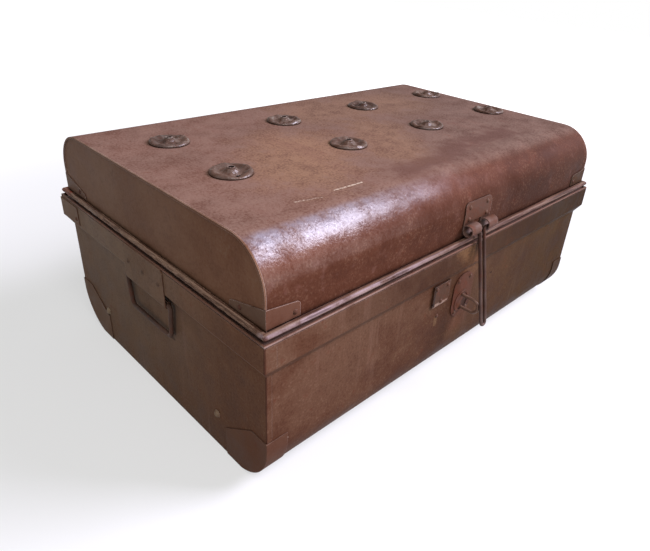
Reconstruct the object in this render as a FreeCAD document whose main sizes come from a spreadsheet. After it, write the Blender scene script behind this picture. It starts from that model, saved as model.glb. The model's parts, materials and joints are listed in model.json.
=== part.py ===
"""Sheet-steel travelling trunk with a domed lid, hasp, drop handles and strap hinges.

X runs along the trunk (left end is -X), the front faces -Y and Z points up.
The origin is the middle of the flat underside. All sizes are in millimetres.
"""
import FreeCAD, Part
import math
import os
import re
import Sketcher

SIZES = (
    # the box below the lid
    ("trunk_length", 760, "over the band, left to right"),
    ("trunk_width", 516, "over the band, front to back"),
    ("sheet_thick", 1.0, "steel sheet of box and lid"),
    ("seat_gap", 0.05, "between pieces that bear on each other"),
    ("run_gap", 0.3, "between pieces that move past each other"),
    ("wall_height", 183.5, "underside to the bottom of the step"),
    ("step_rise", 14, "height of the sloping step"),
    ("step_inset", 9, "how far the band stands out from the wall"),
    ("band_height", 36.7, "flat face of the band"),
    ("bottom_radius", 68, "bend along the front and back bottom edges"),
    ("end_flange", 8, "edge of an end panel turned along the wrap"),
    ("rim_radius", 1.6, "wire in the top edge of the band"),
    ("neck_thick", 1.2, "sheet of the neck frame"),
    ("neck_flange", 12, "neck frame's flange inside the band"),
    ("neck_play", 2, "neck to the inside of the lid"),
    ("neck_lap", 7, "neck's top above the middle of the lid's bead"),
    # the lid
    ("lid_inset", 10.6, "lid wall behind the face of the band"),
    ("lid_gap", 1.6, "band to the underside of the bead"),
    ("bead_radius", 4.6, "rolled wire edge of the lid"),
    ("lid_wall", 39.8, "bead middle to the start of the curve"),
    ("lid_radius", 58, "front and back curve of the lid"),
    ("seam_width", 3, "folded seam round the lid's ends"),
    ("seam_thick", 1.2, "how far that seam stands out"),
    # rivets
    ("rivet_shank", 1.6, "shank radius"),
    ("rivet_head", 3.4, "head radius"),
    ("rivet_dome", 1.9, "head height"),
    ("rivet_tail", 2.6, "radius of the set tail"),
    ("tail_height", 0.9, "height of the set tail"),
    ("end_rivet_head", 6, "head radius of the large end rivets"),
    ("end_rivet_dome", 3.8, "head height of the large end rivets"),
    ("end_rivet_rise", 10, "their height above a guard's free edge"),
    ("end_rivet_rear", 1, "rear one in from its guard's free edge"),
    ("end_rivet_front", 20, "front one in from its guard's free edge"),
    # bosses on the lid
    ("boss_radius", 28.5, "outer radius of a boss"),
    ("boss_sheet", 1.0, "sheet of a boss"),
    ("boss_edge", 4.4, "height of its raised ring"),
    ("boss_round", 2.2, "rounding of its outer edge"),
    ("boss_ring_radius", 22, "inner edge of the raised ring"),
    ("boss_valley_radius", 17.5, "valley inside the ring"),
    ("boss_valley", 2.4, "height of the valley"),
    ("boss_slope_radius", 10.5, "flank of the middle dome"),
    ("boss_slope", 4.2, "height of the flank"),
    ("boss_crown_radius", 7.5, "shoulder of the middle dome"),
    ("boss_crown", 6, "height of the shoulder"),
    ("boss_seat_radius", 4.8, "flat under the rivet's head"),
    ("boss_height", 6.5, "height of that flat"),
    ("boss_row_rear", 100, "rear row behind the middle"),
    ("boss_row_front", 52.5, "front row before the middle"),
    ("boss_column_first", 108, "first column from the left end"),
    ("boss_column_second", 60, "second column left of the middle"),
    ("boss_column_third", 132, "third column right of the middle"),
    ("boss_column_fourth", 53, "fourth column from the right end"),
    ("boss_rivet_head", 4.2, "head radius of a boss rivet"),
    ("boss_rivet_dome", 1.6, "head height of a boss rivet"),
    ("boss_rivet_hole", 1.1, "radius of the hollow in its head"),
    ("boss_rivet_depth", 2.5, "depth of that hollow"),
    # corner plates
    ("lid_plate_length", 46, "leg on the lid's front or back"),
    ("lid_plate_width", 64, "leg on the lid's end"),
    ("lid_plate_height", 25, "height of a lid corner plate at its corner"),
    ("lid_plate_front", 19, "its height at the free end of the long leg"),
    ("lid_plate_end", 8, "its height at the free end of the end leg"),
    ("lid_rivet_rise", 7.2, "its rivets above its lower edge"),
    ("lid_rivet_inset", 20, "its end leg's rivet from the free end"),
    ("lid_plate_round", 5, "rounding of its free ends"),
    ("band_plate_length", 40, "leg on the band's back"),
    ("band_plate_width", 58, "leg on the band's end"),
    ("band_plate_height", 30, "height of a band corner plate"),
    ("band_plate_drop", 2, "its upper edge below the top of the sheet"),
    ("plate_thick", 1.2, "sheet of the corner plates"),
    ("plate_rivet_inset", 7, "rivet from a plate's free end"),
    ("guard_width", 84, "bottom guard along the end panel"),
    ("guard_length", 31, "bottom guard along the wrap"),
    ("guard_low", 46, "guard height at its free edge"),
    ("guard_high", 82, "guard height at the corner"),
    ("guard_shoulder", 30, "flat top of the guard beside the corner"),
    ("guard_floor", 0.5, "guard above the ground"),
    # hasp and staple
    ("hasp_x", 14, "middle of the hasp from the middle of the front"),
    ("hasp_width", 66, "hasp plate"),
    ("hasp_thick", 1.6, "hasp plate's sheet"),
    ("hasp_knuckle", 9, "outer radius of the curled knuckles"),
    ("hasp_lift", 4.3, "knuckles to the lid's bead"),
    ("hasp_curl", 315, "how far round each knuckle is curled, in degrees"),
    ("hasp_wrap", 16, "how far the plate follows the lid's curve, in degrees"),
    ("hasp_round", 8, "rounding of its upper corners"),
    ("hasp_rivet_x", 22, "rivets from the hasp's middle"),
    ("hasp_rivet_low", 13.5, "lower rivets above the middle of the knuckle"),
    ("hasp_rivet_turn", 8.5, "upper rivets round the lid's curve, in degrees"),
    ("hasp_rivet_ease", 0.5, "extra radius of the upper rivets' holes"),
    ("loop_rod", 2.5, "rod radius of the hasp loop"),
    ("loop_half", 5.5, "half the spacing of the loop's legs"),
    ("loop_length", 149.5, "pivot to the middle of the closed end"),
    ("loop_bend", 4.5, "bend radius into the knuckles"),
    ("loop_pintle", 27, "pivot end from the loop's middle"),
    ("loop_droop", 4.4, "pivot from the middle of the knuckle's bore"),
    ("staple_offset", 5, "staple left of the hasp's middle"),
    ("staple_rod", 2.5, "rod radius of the staple"),
    ("staple_half", 11, "half the spacing of the staple's legs"),
    ("staple_reach", 35, "nose of the staple from the wall"),
    ("staple_z", 128.5, "height of the staple's middle"),
    ("staple_tail", 3, "staple's legs inside the wall"),
    ("staple_plate_width", 50, "plate behind the staple"),
    ("staple_plate_low", 102, "its lower edge"),
    ("staple_plate_high", 178, "its upper edge"),
    ("staple_plate_round", 22, "its corners"),
    ("staple_plate_thick", 1.6, "its sheet"),
    ("staple_ring_outer", 18.5, "ring pressed out round the staple"),
    ("staple_ring_inner", 15, "inner edge of that ring"),
    ("staple_ring_rise", 0.9, "how far that ring stands out"),
    ("staple_rivet_x", 15, "its rivets from the staple's middle"),
    ("staple_rivet_inset", 10, "its rivets from the lower and upper edge"),
    ("lock_plate_x", -51.5, "middle of the lock's cover"),
    ("lock_plate_width", 38, "lock's cover, pressed as a shallow tray"),
    ("lock_plate_low", 147, "its lower edge"),
    ("lock_plate_high", 182.5, "its upper edge"),
    ("lock_plate_thick", 3, "how far it stands out"),
    ("lock_plate_sheet", 1, "its sheet"),
    ("lock_rivet_x", 13, "its upper rivets from its middle"),
    ("lock_rivet_inset", 6, "its rivets from the lower and upper edge"),
    ("lock_stud_z", 125, "stud below the cover"),
    # drop handles
    ("handle_width", 105, "handle plate"),
    ("handle_round", 6, "rounding of its upper corners"),
    ("handle_top", 1.5, "its upper edge below the top of the band"),
    ("handle_thick", 1.5, "handle plate's sheet"),
    ("handle_z", 180, "height of the pivot"),
    ("handle_rivet_z", 208, "height of its rivets"),
    ("handle_rivet_y", 40, "outer rivets from the middle"),
    ("bail_rod", 3, "rod radius of the bail"),
    ("bail_play", 0.1, "bail in its knuckle"),
    ("bail_drop", 50, "pivot to the middle of the grip"),
    ("bail_taper", 6, "how far each arm leans in"),
    ("bail_bend", 8, "bend radius beside the grip"),
    ("bail_shoulder", 5, "bend radius at the pivot"),
    ("bail_pintle", 18, "pivot end inside the knuckle"),
    # hinges
    ("hinge_x", 220, "hinges from the middle"),
    ("hinge_width", 60, "hinge strap"),
    ("hinge_thick", 1.6, "hinge strap's sheet"),
    ("hinge_pin", 2.2, "pin radius"),
    ("hinge_play", 0.1, "pin in its knuckles"),
    ("hinge_middle", 24, "width of the lid's knuckle"),
    ("hinge_low", 199, "lower end of the box strap"),
    ("hinge_high", 279, "upper end of the lid strap"),
    ("hinge_rivet_x", 20, "rivets from the hinge's middle"),
    ("hinge_rivet_low", 208, "rivets in the band"),
    ("hinge_rivet_high", 271, "rivets in the lid"),
    ("hinge_slope", 11.5, "height over which the strap leans in"),
    ("hinge_rise", 1.5, "start of that slope above the bead"),
    ("hinge_round", 7, "rounding of a strap's free corners"),
    ("pin_head", 3.3, "head radius of a hinge pin"),
    ("pin_head_thick", 1.5, "head of a hinge pin"),
)

# ---------------------------------------------------------------- places that follow from the sizes
HALF_X = "(trunk_length / 2)"
HALF_Y = "(trunk_width / 2)"
WALL_X = f"({HALF_X} - step_inset)"
WALL_Y = f"({HALF_Y} - step_inset)"
STEP_TOP = "(wall_height + step_rise)"
BAND_TOP = f"({STEP_TOP} + band_height)"
MITRE = "(sheet_thick * tan(atan(step_inset / step_rise) / 2))"
SHOULDER_Z = f"({BAND_TOP} - 2 * rim_radius - seat_gap)"
WRAP_X = f"({WALL_X} - end_flange)"
BEND_Y = f"({WALL_Y} - bottom_radius)"

LID_X = f"({HALF_X} - lid_inset)"
LID_Y = f"({HALF_Y} - lid_inset)"
BEAD_Z = f"({BAND_TOP} + lid_gap + bead_radius)"
LID_LOW = f"({BEAD_Z} - bead_radius)"
LID_SPRING = f"({BEAD_Z} + lid_wall)"
LID_TOP = f"({LID_SPRING} + lid_radius)"
CROWN_Y = f"({LID_Y} - lid_radius)"
PLATE_Z = f"({BEAD_Z} + bead_radius + seat_gap)"

HASP_Y = f"({LID_Y} + seat_gap)"
HASP_KNUCKLE_Y = f"({HASP_Y} + hasp_knuckle)"
HASP_KNUCKLE_Z = (f"({BEAD_Z} + sqrt((bead_radius + hasp_knuckle + hasp_lift)^2"
                  " - (hasp_knuckle - bead_radius)^2))")
HASP_BORE = "(hasp_knuckle - hasp_thick)"
LOOP_Y = f"({HASP_KNUCKLE_Y} + loop_droop * sqrt(0.5))"
LOOP_Z = f"({HASP_KNUCKLE_Z} - loop_droop * sqrt(0.5))"
STAPLE_X = "(hasp_x - staple_offset)"
NOSE_Y = f"({WALL_Y} + staple_reach - staple_half - staple_rod)"
NOSE_DROP = f"({LOOP_Z} - staple_z)"
NOSE_OUT = f"({NOSE_Y} - {LOOP_Y})"
LOOP_SLOT = "(loop_half + loop_bend)"
NOSE_REST = "(staple_half + staple_rod + loop_rod + run_gap)"
LOOP_LEAN = (f"(atan({NOSE_OUT} / {NOSE_DROP})"
             f" + asin({NOSE_REST} / sqrt({NOSE_OUT}^2 + {NOSE_DROP}^2)))")

HANDLE_FACE = f"({HALF_X} + seat_gap + handle_thick)"
HANDLE_KNUCKLE = "(bail_rod + bail_play + handle_thick)"
BAIL_X = f"({HANDLE_FACE} - {HANDLE_KNUCKLE})"
BAIL_HALF = ("(handle_width / 2 + run_gap"
             " + bail_shoulder / tan((90 deg - atan(bail_taper / bail_drop)) / 2))")

HINGE_Y = f"({HALF_Y} + seat_gap)"
HINGE_BORE = "(hinge_pin + hinge_play)"
HINGE_KNUCKLE = f"({HINGE_BORE} + hinge_thick)"
HINGE_AXIS_Y = f"({HINGE_Y} + {HINGE_KNUCKLE})"
HINGE_AXIS_Z = f"({BEAD_Z} - bead_radius)"
HINGE_BEND_Z = f"({BEAD_Z} + bead_radius + hinge_rise)"
HINGE_LID_Y = f"({LID_Y} + seat_gap)"
HINGE_MITRE = f"(hinge_thick * tan(atan(({HINGE_Y} - {HINGE_LID_Y}) / hinge_slope) / 2))"

BOSS_COLUMNS = (f"(boss_column_first - {HALF_X})", "-boss_column_second",
                "boss_column_third", f"({HALF_X} - boss_column_fourth)")
BOSS_ROWS = (("rear", "boss_row_rear"), ("front", "-boss_row_front"))
SIDES = (("left", -1), ("right", 1))
FACES = (("front", -1), ("rear", 1))

doc = FreeCAD.newDocument("dome_top_trunk")
sheet = doc.addObject("Spreadsheet::Sheet", "Sizes")
for row, (alias, size, note) in enumerate(SIZES, start=1):
    sheet.set(f"A{row}", alias)
    sheet.set(f"B{row}", str(size))
    sheet.set(f"C{row}", note)
    sheet.setAlias(f"B{row}", alias)
doc.recompute()
ALIASES = {alias for alias, size, note in SIZES}
NODES = []


# ---------------------------------------------------------------- tools
def cell(formula):
    """A formula in size names, with each name pointed at its cell."""
    return re.sub(r"[a-z]+(_[a-z]+)*",
                  lambda word: f"Sizes.{word.group()}" if word.group() in ALIASES else word.group(),
                  str(formula))


def number(formula):
    """What a formula comes to with the present sizes."""
    found = sheet.evalExpression(cell(formula))
    return float(getattr(found, "Value", found))


def new_body(label):
    body = doc.addObject("PartDesign::Body", label)
    body.Label = label
    NODES.append(body)
    return body


def new_sketch(body, name, plane, offset="0"):
    """A sketch on one of the body's own planes, moved along that plane's normal."""
    sketch = body.newObject("Sketcher::SketchObject", name)
    origin_plane = next(item for item in body.Origin.OriginFeatures if item.Role == plane)
    sketch.AttachmentSupport = [(origin_plane, "")]
    sketch.MapMode = "FlatFace"
    sketch.setExpression("AttachmentOffset.Base.z", cell(offset))
    return sketch


def constrain(sketch, entries):
    """Add (constraint, formula or None) pairs and bind each formula."""
    places = sketch.addConstraint([constraint for constraint, formula in entries])
    for place, (constraint, formula) in zip(places, entries):
        if formula is not None:
            sketch.setExpression(f"Constraints[{place}]", cell(formula))


def at(geometry, end, point):
    """Two entries that hold one end of a geometry at a point of formulas."""
    return [(Sketcher.Constraint("DistanceX", -1, 1, geometry, end, number(point[0])), point[0]),
            (Sketcher.Constraint("DistanceY", -1, 1, geometry, end, number(point[1])), point[1])]


def arc_shape(start, finish, centre, turn):
    """An arc from start to finish, and which of its ends is the start; turn is 1 for anticlockwise."""
    circle = Part.Circle(centre, FreeCAD.Vector(0, 0, 1), (start - centre).Length)
    first, last = (start, finish) if turn > 0 else (finish, start)
    begin = math.atan2(first.y - centre.y, first.x - centre.x)
    end = math.atan2(last.y - centre.y, last.x - centre.x)
    if end <= begin:
        end += 2 * math.pi
    return Part.ArcOfCircle(circle, begin, end), (1, 2) if turn > 0 else (2, 1)


def outline(sketch, corners, closed=True):
    """Join corners (x, y) by lines, or (x, y, (centre x, centre y, radius, turn)) by an arc."""
    spots = [FreeCAD.Vector(number(corner[0]), number(corner[1]), 0) for corner in corners]
    entries = []
    pieces = []
    for index in range(len(corners) if closed else len(corners) - 1):
        following = (index + 1) % len(corners)
        bend = corners[following][2] if len(corners[following]) > 2 else None
        if bend is None:
            line = Part.LineSegment(spots[index], spots[following])
            pieces.append((sketch.addGeometry(line, False), 1, 2))
        else:
            centre = FreeCAD.Vector(number(bend[0]), number(bend[1]), 0)
            curve, (start_end, finish_end) = arc_shape(spots[index], spots[following], centre, bend[3])
            geometry = sketch.addGeometry(curve, False)
            pieces.append((geometry, start_end, finish_end))
            entries.append((Sketcher.Constraint("Radius", geometry, number(bend[2])), bend[2]))
    for index, (geometry, start_end, finish_end) in enumerate(pieces):
        entries += at(geometry, start_end, corners[index])
        if closed or index > 0:
            before = pieces[index - 1]
            entries.append((Sketcher.Constraint("Coincident", before[0], before[2],
                                                geometry, start_end), None))
    if not closed:
        entries += at(pieces[-1][0], pieces[-1][2], corners[-1])
    constrain(sketch, entries)
    return sketch


def rounded_path(sketch, corners, radii):
    """Straight runs through the corners, each inner corner rounded by its radius."""
    spots = [FreeCAD.Vector(number(x), number(y), 0) for x, y in corners]
    marks = [sketch.addGeometry(Part.Point(spot), True) for spot in spots]
    entries = [entry for mark, corner in zip(marks, corners) for entry in at(mark, 1, corner)]
    runs = [[first, second] for first, second in zip(spots, spots[1:])]
    bends = []
    for index, radius in enumerate(radii):
        back = (spots[index] - spots[index + 1]).normalize()
        ahead = (spots[index + 2] - spots[index + 1]).normalize()
        half = back.getAngle(ahead) / 2
        reach = number(radius) / math.tan(half)
        middle = (back + ahead).normalize() * (number(radius) / math.sin(half))
        runs[index][1] = spots[index + 1] + back * reach
        runs[index + 1][0] = spots[index + 1] + ahead * reach
        bends.append((spots[index + 1] + middle, 1 if back.cross(ahead).z < 0 else -1))
    lines = [sketch.addGeometry(Part.LineSegment(*run), False) for run in runs]
    for index, (centre, turn) in enumerate(bends):
        curve, (start_end, finish_end) = arc_shape(runs[index][1], runs[index + 1][0], centre, turn)
        arc = sketch.addGeometry(curve, False)
        entries.append((Sketcher.Constraint("Radius", arc, number(radii[index])), radii[index]))
        entries.append((Sketcher.Constraint("Tangent", lines[index], 2, arc, start_end), None))
        entries.append((Sketcher.Constraint("Tangent", arc, finish_end, lines[index + 1], 1), None))
    for index, line in enumerate(lines):
        if index > 0:
            entries.append((Sketcher.Constraint("PointOnObject", marks[index], 1, line), None))
        else:
            entries.append((Sketcher.Constraint("Coincident", marks[0], 1, line, 1), None))
        if index < len(lines) - 1:
            entries.append((Sketcher.Constraint("PointOnObject", marks[index + 1], 1, line), None))
        else:
            entries.append((Sketcher.Constraint("Coincident", marks[-1], 1, line, 2), None))
    constrain(sketch, entries)
    return sketch


def rectangle(sketch, low, high):
    return outline(sketch, [(low[0], low[1]), (high[0], low[1]), (high[0], high[1]), (low[0], high[1])])


def centred_rectangle(sketch, half_x, half_y):
    return rectangle(sketch, (f"-{half_x}", f"-{half_y}"), (half_x, half_y))


def circles(sketch, centres, radius):
    entries = []
    for x, y in centres:
        centre = FreeCAD.Vector(number(x), number(y), 0)
        ring = sketch.addGeometry(Part.Circle(centre, FreeCAD.Vector(0, 0, 1), number(radius)), False)
        entries.append((Sketcher.Constraint("Radius", ring, number(radius)), radius))
        entries += at(ring, 3, (x, y))
    constrain(sketch, entries)
    return sketch


def pad(body, name, sketch, length, both_ways=False, backwards=False):
    feature = body.newObject("PartDesign::Pad", name)
    feature.Profile = sketch
    feature.SideType = "Symmetric" if both_ways else "One side"
    feature.Reversed = backwards
    feature.setExpression("Length", cell(length))
    return feature


def pocket(body, name, sketch, depth, both_ways=False, backwards=False):
    """Cut to a depth; with no turning round it cuts against the sketch's normal."""
    doc.recompute()
    before = body.Shape.Volume
    feature = body.newObject("PartDesign::Pocket", name)
    feature.Profile = sketch
    feature.SideType = "Symmetric" if both_ways else "One side"
    feature.Reversed = backwards
    feature.setExpression("Length", cell(depth))
    doc.recompute()
    if body.Shape.Volume >= before:
        raise RuntimeError(f"{body.Label}: {name} cuts nothing")
    return feature


def pipe(body, name, profile, path, corner="Transformed"):
    feature = body.newObject("PartDesign::AdditivePipe", name)
    feature.Profile = profile
    feature.Spine = (path, [])
    feature.Transition = corner
    return feature


def place(body, x="0", y="0", z="0"):
    for axis, formula in zip("xyz", (x, y, z)):
        body.setExpression(f"Placement.Base.{axis}", cell(formula))


def hold(label, shape):
    """A group of separate solids under one label."""
    feature = doc.addObject("Part::Feature", label)
    feature.Shape = shape
    feature.Label = label
    feature.Placement = FreeCAD.Placement()
    NODES.append(feature)


def rivet_shape(grip, head="rivet_head", dome="rivet_dome"):
    """A set rivet on the Z axis: its head stands above Z = 0, its tail below the grip."""
    head_radius, head_height, shank, tail, tail_height = [
        number(name) for name in (head, dome, "rivet_shank", "rivet_tail", "tail_height")]
    ball = (head_radius ** 2 + head_height ** 2) / (2 * head_height)
    slant = math.asin(head_radius / ball) / 2
    points = [FreeCAD.Vector(x, 0, z) for x, z in (
        (0, head_height), (ball * math.sin(slant), head_height - ball * (1 - math.cos(slant))),
        (head_radius, 0), (shank, 0), (shank, -grip), (tail, -grip),
        (tail, -grip - tail_height), (0, -grip - tail_height))]
    edges = [Part.Arc(points[0], points[1], points[2]).toShape()]
    edges += [Part.makeLine(first, second) for first, second in zip(points[2:], points[3:])]
    edges.append(Part.makeLine(points[-1], points[0]))
    face = Part.Face(Part.Wire(edges))
    return face.revolve(FreeCAD.Vector(0, 0, 0), FreeCAD.Vector(0, 0, 1), 360)


def rivet_group(label, seats, head="rivet_head", dome="rivet_dome", hole=None):
    """Rivets at (x, y, z, outward direction, grip): the place is on the outermost face."""
    shapes = []
    for x, y, z, outward, grip in seats:
        direction = FreeCAD.Vector(*outward)
        seat = FreeCAD.Vector(number(x), number(y), number(z)) + direction * number("seat_gap")
        rivet = rivet_shape(number(grip) + 2 * number("seat_gap"), head, dome)
        if hole is not None:
            floor = FreeCAD.Vector(0, 0, number(dome) - number("boss_rivet_depth"))
            rivet = rivet.cut(Part.makeCylinder(number(hole), 2 * number("boss_rivet_depth"), floor))
        turn = FreeCAD.Rotation(FreeCAD.Vector(0, 0, 1), direction)
        rivet.Placement = FreeCAD.Placement(seat, turn)
        shapes.append(rivet)
    hold(label, Part.makeCompound(shapes))


RIVET_HOLE = "(rivet_shank + seat_gap)"
DRILL_START = "5"
DRILL_DEPTH = "12"
SAME = 0.01


def outside_sketch(body, name, plane, face, facing):
    """A sketch before one wall, and whether a cut into the wall is turned round."""
    side = -facing if plane == "XZ_Plane" else facing
    return new_sketch(body, f"{name}_sketch", plane, f"{side} * ({face} + {DRILL_START})"), side < 0


def drill(body, name, plane, face, facing, centres, radius=RIVET_HOLE, depth=DRILL_DEPTH):
    """Holes inwards through one wall; face is its distance and facing its side of the plane."""
    sketch, backwards = outside_sketch(body, name, plane, face, facing)
    circles(sketch, centres, radius)
    pocket(body, name, sketch, depth, backwards=backwards)


# ---------------------------------------------------------------- box
def wall_profile(inset):
    """Corners of the box's cross-section in Y and Z, open at the top, drawn at an inset."""
    rise = f"({MITRE} * {inset} / sheet_thick)"
    radius = f"(bottom_radius - {inset})"
    return [
        (f"-({HALF_Y} - {inset})", SHOULDER_Z),
        (f"-({HALF_Y} - {inset})", f"({STEP_TOP} + {rise})"),
        (f"-({WALL_Y} - {inset})", f"(wall_height + {rise})"),
        (f"-({WALL_Y} - {inset})", "bottom_radius"),
        (f"-{BEND_Y}", inset, (f"-{BEND_Y}", "bottom_radius", radius, 1)),
        (BEND_Y, inset),
        (f"({WALL_Y} - {inset})", "bottom_radius", (BEND_Y, "bottom_radius", radius, 1)),
        (f"({WALL_Y} - {inset})", f"(wall_height + {rise})"),
        (f"({HALF_Y} - {inset})", f"({STEP_TOP} + {rise})"),
        (f"({HALF_Y} - {inset})", SHOULDER_Z),
    ]


def reversed_profile(corners):
    """The same corners walked the other way, with each bend kept on its own stretch."""
    turned = []
    bends = [corner[2] if len(corner) > 2 else None for corner in corners]
    for index in range(len(corners) - 1, -1, -1):
        bend = bends[index + 1] if index + 1 < len(corners) else None
        if bend is None:
            turned.append(corners[index][:2])
        else:
            turned.append((*corners[index][:2], (*bend[:3], -bend[3])))
    return turned


def build_wrap():
    """Front, bottom and back in one sheet, with the band pressed out along its top."""
    body = new_body("body_wrap")
    sketch = new_sketch(body, "wrap_section", "YZ_Plane")
    outline(sketch, wall_profile("0") + reversed_profile(wall_profile("sheet_thick")))
    pad(body, "wrap_sheet", sketch, f"2 * {WRAP_X} - seat_gap", both_ways=True)
    drill(body, "front_holes", "XZ_Plane", WALL_Y, -1, staple_rivets() + lock_rivets() + lock_stud())
    drill(body, "staple_holes", "XZ_Plane", WALL_Y, -1, staple_legs(), STAPLE_HOLE)
    rear = hinge_rivets("hinge_rivet_low")
    rear += [(f"{side} * ({HALF_X} - band_plate_length + plate_rivet_inset)", BAND_PLATE_RIVET_Z)
             for name, side in SIDES]
    drill(body, "rear_holes", "XZ_Plane", HALF_Y, 1, rear)


def end_profile(inset, low, high):
    """The end panel's outline in Y and Z between two heights below the step."""
    radius = f"(bottom_radius - {inset})"
    return [
        (f"-({WALL_Y} - {inset})", high),
        (f"-({WALL_Y} - {inset})", "bottom_radius"),
        (f"-{BEND_Y}", low, (f"-{BEND_Y}", "bottom_radius", radius, 1)),
        (BEND_Y, low),
        (f"({WALL_Y} - {inset})", "bottom_radius", (BEND_Y, "bottom_radius", radius, 1)),
        (f"({WALL_Y} - {inset})", high),
    ]


def end_rectangle(body, name, side, height, reach, half_y):
    """A level rectangle from the end panel's inner edge out to a reach."""
    sketch = new_sketch(body, name, "XY_Plane", height)
    return rectangle(sketch, (f"{side} * {WRAP_X}", f"-{half_y}"), (f"{side} * {reach}", half_y))


def loft(body, kind, name, first, second):
    feature = body.newObject(kind, name)
    feature.Profile = first
    feature.Sections = [second]
    feature.Ruled = True
    return feature


def build_end(name, side):
    """An end panel pressed as a pan: its edges turn along the wrap and its band stands out."""
    body = new_body(f"body_end_{name}")
    inner = f"{side} * {WRAP_X}"
    lower = new_sketch(body, "panel_outline", "YZ_Plane", inner)
    outline(lower, end_profile("0", "0", "wall_height"))
    pad(body, "panel_block", lower, "end_flange", backwards=side < 0)
    loft(body, "PartDesign::AdditiveLoft", "step_block",
         end_rectangle(body, "step_low", side, "wall_height", WALL_X, WALL_Y),
         end_rectangle(body, "step_high", side, STEP_TOP, HALF_X, HALF_Y))
    pad(body, "band_block", end_rectangle(body, "band_outline", side, STEP_TOP, HALF_X, HALF_Y),
        f"({SHOULDER_Z} - {STEP_TOP})")
    inside = [f"({place} - sheet_thick)" for place in (WALL_X, WALL_Y, HALF_X, HALF_Y)]
    low = f"(wall_height + {MITRE})"
    high = f"({STEP_TOP} + {MITRE})"
    hollow = new_sketch(body, "hollow_outline", "YZ_Plane", inner)
    outline(hollow, end_profile("sheet_thick", "sheet_thick", low))
    pocket(body, "hollow", hollow, "(end_flange - sheet_thick)", backwards=side > 0)
    loft(body, "PartDesign::SubtractiveLoft", "step_hollow",
         end_rectangle(body, "step_hollow_low", side, low, inside[0], inside[1]),
         end_rectangle(body, "step_hollow_high", side, high, inside[2], inside[3]))
    pocket(body, "band_hollow", end_rectangle(body, "band_hollow_outline", side, high, inside[2], inside[3]),
           "band_height", backwards=True)
    drill(body, "handle_holes", "YZ_Plane", HALF_X, side, handle_rivets())
    drill(body, "foot_holes", "YZ_Plane", WALL_X, side, end_rivets())
    drill(body, "rear_plate_hole", "YZ_Plane", HALF_X, side,
          [(f"({HALF_Y} - band_plate_width + plate_rivet_inset)", BAND_PLATE_RIVET_Z)])


def ring_wire(label, half_x, half_y, height, radius):
    """A round wire bent into a rectangle, mitred at its corners."""
    body = new_body(label)
    path = new_sketch(body, "wire_path", "XY_Plane", height)
    outline(path, [("0", f"-{half_y}"), (half_x, f"-{half_y}"), (half_x, half_y),
                   (f"-{half_x}", half_y), (f"-{half_x}", f"-{half_y}")])
    section = new_sketch(body, "wire_section", "YZ_Plane")
    circles(section, [(f"-{half_y}", height)], radius)
    pipe(body, "wire", section, path, "Right corner")


def build_neck():
    """The frame inside the band's top: flange, flat shoulder and the neck the lid closes over."""
    body = new_body("neck_frame")
    outer = [f"({half} - sheet_thick - seat_gap)" for half in (HALF_X, HALF_Y)]
    neck = [f"({half} - sheet_thick - neck_play)" for half in (LID_X, LID_Y)]
    bands = (
        ("flange", outer, [f"({half} - neck_thick)" for half in outer],
         f"({SHOULDER_Z} - neck_flange)", "neck_flange"),
        ("shoulder", outer, [f"({half} - neck_thick)" for half in neck],
         f"({SHOULDER_Z} - neck_thick)", "neck_thick"),
        ("neck", neck, [f"({half} - neck_thick)" for half in neck],
         f"({SHOULDER_Z} - neck_thick)", f"({BEAD_Z} + neck_lap - {SHOULDER_Z} + neck_thick)"),
    )
    for name, outside, inside, height, rise in bands:
        sketch = new_sketch(body, f"{name}_ring", "XY_Plane", height)
        centred_rectangle(sketch, *outside)
        centred_rectangle(sketch, *inside)
        pad(body, name, sketch, rise)


# ---------------------------------------------------------------- lid
def lid_profile(inset, low):
    """The lid's cross-section in Y and Z, from the front's lower edge over the top to the back's."""
    radius = f"(lid_radius - {inset})"
    return [
        (f"-({LID_Y} - {inset})", low),
        (f"-({LID_Y} - {inset})", LID_SPRING),
        (f"-{CROWN_Y}", f"({LID_TOP} - {inset})", (f"-{CROWN_Y}", LID_SPRING, radius, -1)),
        (CROWN_Y, f"({LID_TOP} - {inset})"),
        (f"({LID_Y} - {inset})", LID_SPRING, (CROWN_Y, LID_SPRING, radius, -1)),
        (f"({LID_Y} - {inset})", low),
    ]


def boss_centres():
    return [(x, y) for row, y in BOSS_ROWS for x in BOSS_COLUMNS]


def build_lid_skin():
    body = new_body("lid_skin")
    sketch = new_sketch(body, "lid_section", "YZ_Plane")
    outline(sketch, lid_profile("0", LID_LOW) + reversed_profile(lid_profile("sheet_thick", LID_LOW)))
    pad(body, "lid_sheet", sketch, f"2 * ({LID_X} - sheet_thick - seat_gap)", both_ways=True)
    drill(body, "boss_holes", "XY_Plane", LID_TOP, 1, boss_centres())
    corner = [(f"{side} * ({LID_X} - lid_plate_length + plate_rivet_inset)", LID_PLATE_RIVET_Z)
              for name, side in SIDES]
    drill(body, "front_holes", "XZ_Plane", LID_Y, -1, hasp_rivets(HASP_RIVET_Z) + corner)
    drill(body, "curve_holes", "XZ_Plane", LID_Y, -1, hasp_rivets(HASP_CURVE_Z), HASP_HOLE)
    drill(body, "rear_holes", "XZ_Plane", LID_Y, 1, hinge_rivets("hinge_rivet_high") + corner)


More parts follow.
